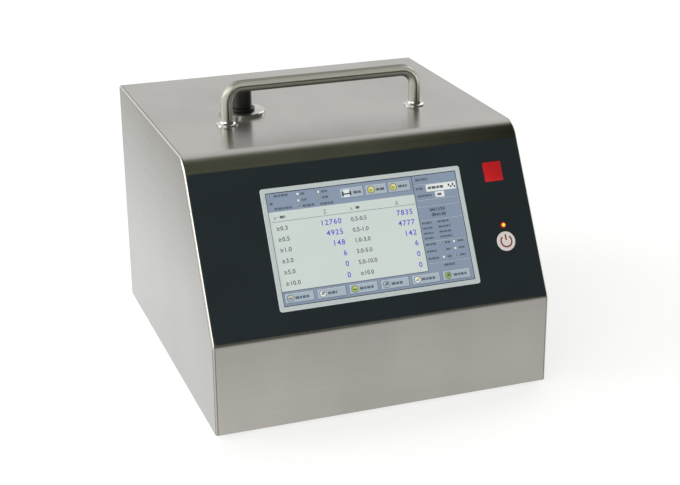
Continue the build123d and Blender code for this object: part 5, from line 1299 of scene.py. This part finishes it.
# ---- studio -------------------------------------------------------------------------------------
@dataclass
class Studio:
    """Pale floor, soft surrounding light and the camera."""

    floor_radius: float = 9.0
    floor_tone: Colour = (0.5, 0.5, 0.5)
    floor_glow: float = 0.70
    camera_place: Point = (-0.37460, -1.11122, 0.53760)
    camera_right: Point = (0.942080114620383, -0.33528606072076894, -0.008265296316205067)
    camera_down: Point = (-0.12824865840803706, -0.33736060182833394, -0.9325985770686994)
    camera_ahead: Point = (0.3098989177996342, 0.8796425875435848, -0.36082070190919246)
    lens: float = 79.549
    bright: Colour = (0.78, 0.78, 0.77)
    dark: Colour = (0.07, 0.075, 0.055)
    backdrop: Colour = (1.0, 1.0, 1.0)

    def floor(self) -> None:
        """Lay the floor."""
        put_down()
        bpy.ops.mesh.primitive_circle_add(vertices=96, radius=self.floor_radius, fill_type="NGON")
        ground = bpy.context.active_object
        ground.name = "studio_floor"
        graph = Graph("studio_floor")
        soft = graph.noise(graph.position(), 3.0, 2.0)
        tone = graph.mixed(graph.reach(soft, 0, 1), scaled(self.floor_tone, 0.99), self.floor_tone)
        graph.feed(tone, graph.shader.inputs["Base Color"])
        graph.set(Roughness=0.75, Emission_Color=(1.0, 1.0, 1.0), Emission_Strength=self.floor_glow)
        graph.set(Specular_IOR_Level=0.1)
        ground.data.materials.append(graph.material)

    def surroundings(self) -> None:
        """Light the room: pale walls behind and beside, an unlit strip overhead and ahead."""
        world = bpy.data.worlds.new("studio_light")
        bpy.context.scene.world = world
        world.use_nodes = True
        tree = world.node_tree
        tree.nodes.clear()

        def add(kind: str, **settings: object) -> bpy.types.Node:
            """Add a node to the room's light."""
            made = tree.nodes.new(kind)
            for key, value in settings.items():
                setattr(made, key, value)
            return made

        def ramp(source: Socket, start: float, stop: float) -> Socket:
            """Return 0 to 1 smoothly between two values."""
            made = add("ShaderNodeMapRange", interpolation_type="SMOOTHSTEP")
            made.inputs["From Min"].default_value = start
            made.inputs["From Max"].default_value = stop
            tree.links.new(source, made.inputs["Value"])
            return made.outputs["Result"]

        def times(first: Socket, second: Socket) -> Socket:
            """Multiply two values."""
            made = add("ShaderNodeMath", operation="MULTIPLY")
            tree.links.new(first, made.inputs[0])
            tree.links.new(second, made.inputs[1])
            return made.outputs[0]

        way = add("ShaderNodeSeparateXYZ")
        tree.links.new(add("ShaderNodeTexCoord").outputs["Generated"], way.inputs[0])
        shift = add("ShaderNodeMath", operation="SUBTRACT")
        tree.links.new(way.outputs["X"], shift.inputs[0])
        shift.inputs[1].default_value = 0.3
        spread = add("ShaderNodeMath", operation="ABSOLUTE")
        tree.links.new(shift.outputs[0], spread.inputs[0])
        unlit = times(ramp(way.outputs["Y"], 0.42, 0.08), ramp(way.outputs["Z"], 0.02, 0.2))
        unlit = times(unlit, ramp(spread.outputs[0], 0.95, 0.62))
        tone = add("ShaderNodeMix", data_type="RGBA")
        tone.inputs[6].default_value = (*self.bright, 1.0)
        tone.inputs[7].default_value = (*self.dark, 1.0)
        tree.links.new(unlit, tone.inputs[0])
        room = add("ShaderNodeBackground")
        tree.links.new(tone.outputs[2], room.inputs["Color"])
        seen = add("ShaderNodeBackground")
        seen.inputs["Color"].default_value = (*self.backdrop, 1.0)
        both = add("ShaderNodeMixShader")
        tree.links.new(add("ShaderNodeLightPath").outputs["Is Camera Ray"], both.inputs[0])
        tree.links.new(room.outputs[0], both.inputs[1])
        tree.links.new(seen.outputs[0], both.inputs[2])
        tree.links.new(both.outputs[0], add("ShaderNodeOutputWorld").inputs["Surface"])

    def lamp(self, name: str, place: Point, size: tuple[float, float], power: float) -> None:
        """Hang one soft rectangular light, aimed at the part's middle."""
        data = bpy.data.lights.new(name, "AREA")
        data.shape = "RECTANGLE"
        data.size, data.size_y = size
        data.energy = power
        light = bpy.data.objects.new(name, data)
        bpy.context.scene.collection.objects.link(light)
        light.location = place
        aim = Vector((0, 0, 0.1)) - Vector(place)
        light.rotation_euler = aim.to_track_quat("-Z", "Y").to_euler()

    def camera(self) -> None:
        """Set the camera."""
        data = bpy.data.cameras.new("main_camera")
        data.lens = self.lens
        data.sensor_width = 36.0
        data.clip_end = 50.0
        view = bpy.data.objects.new("main_camera", data)
        bpy.context.scene.collection.objects.link(view)
        columns = (Vector(self.camera_right), -Vector(self.camera_down), -Vector(self.camera_ahead))
        turn = Matrix(columns).transposed().to_4x4()
        view.matrix_world = Matrix.Translation(self.camera_place) @ turn
        bpy.context.scene.camera = view

    def build(self) -> None:
        """Set up camera, floor and light."""
        self.camera()
        self.floor()
        self.surroundings()
        self.lamp("left_light", (-2.2, 0.4, 1.5), (1.6, 1.6), 20.0)
        self.lamp("right_light", (2.1, 1.0, 1.7), (1.4, 1.4), 8.0)
        self.lamp("face_light", (-1.7, -1.9, 2.0), (1.8, 1.8), 20.0)
        scene = bpy.context.scene
        scene.view_settings.view_transform = "Standard"
        scene.view_settings.look = "None"


def main() -> None:
    """Build every sub-assembly in order."""
    logging.basicConfig(level=logging.INFO, format="%(name)s: %(message)s")
    Studio().build()
    dress_nodes()
    assemblies = (
        DisplayPicture, PowerSymbol, RedBadge, CaseScrews, FanGuard, MainsPins, RockerMarks, DataSockets,
    )
    for assembly in assemblies:
        assembly().build()


if __name__ == "__main__":
    main()
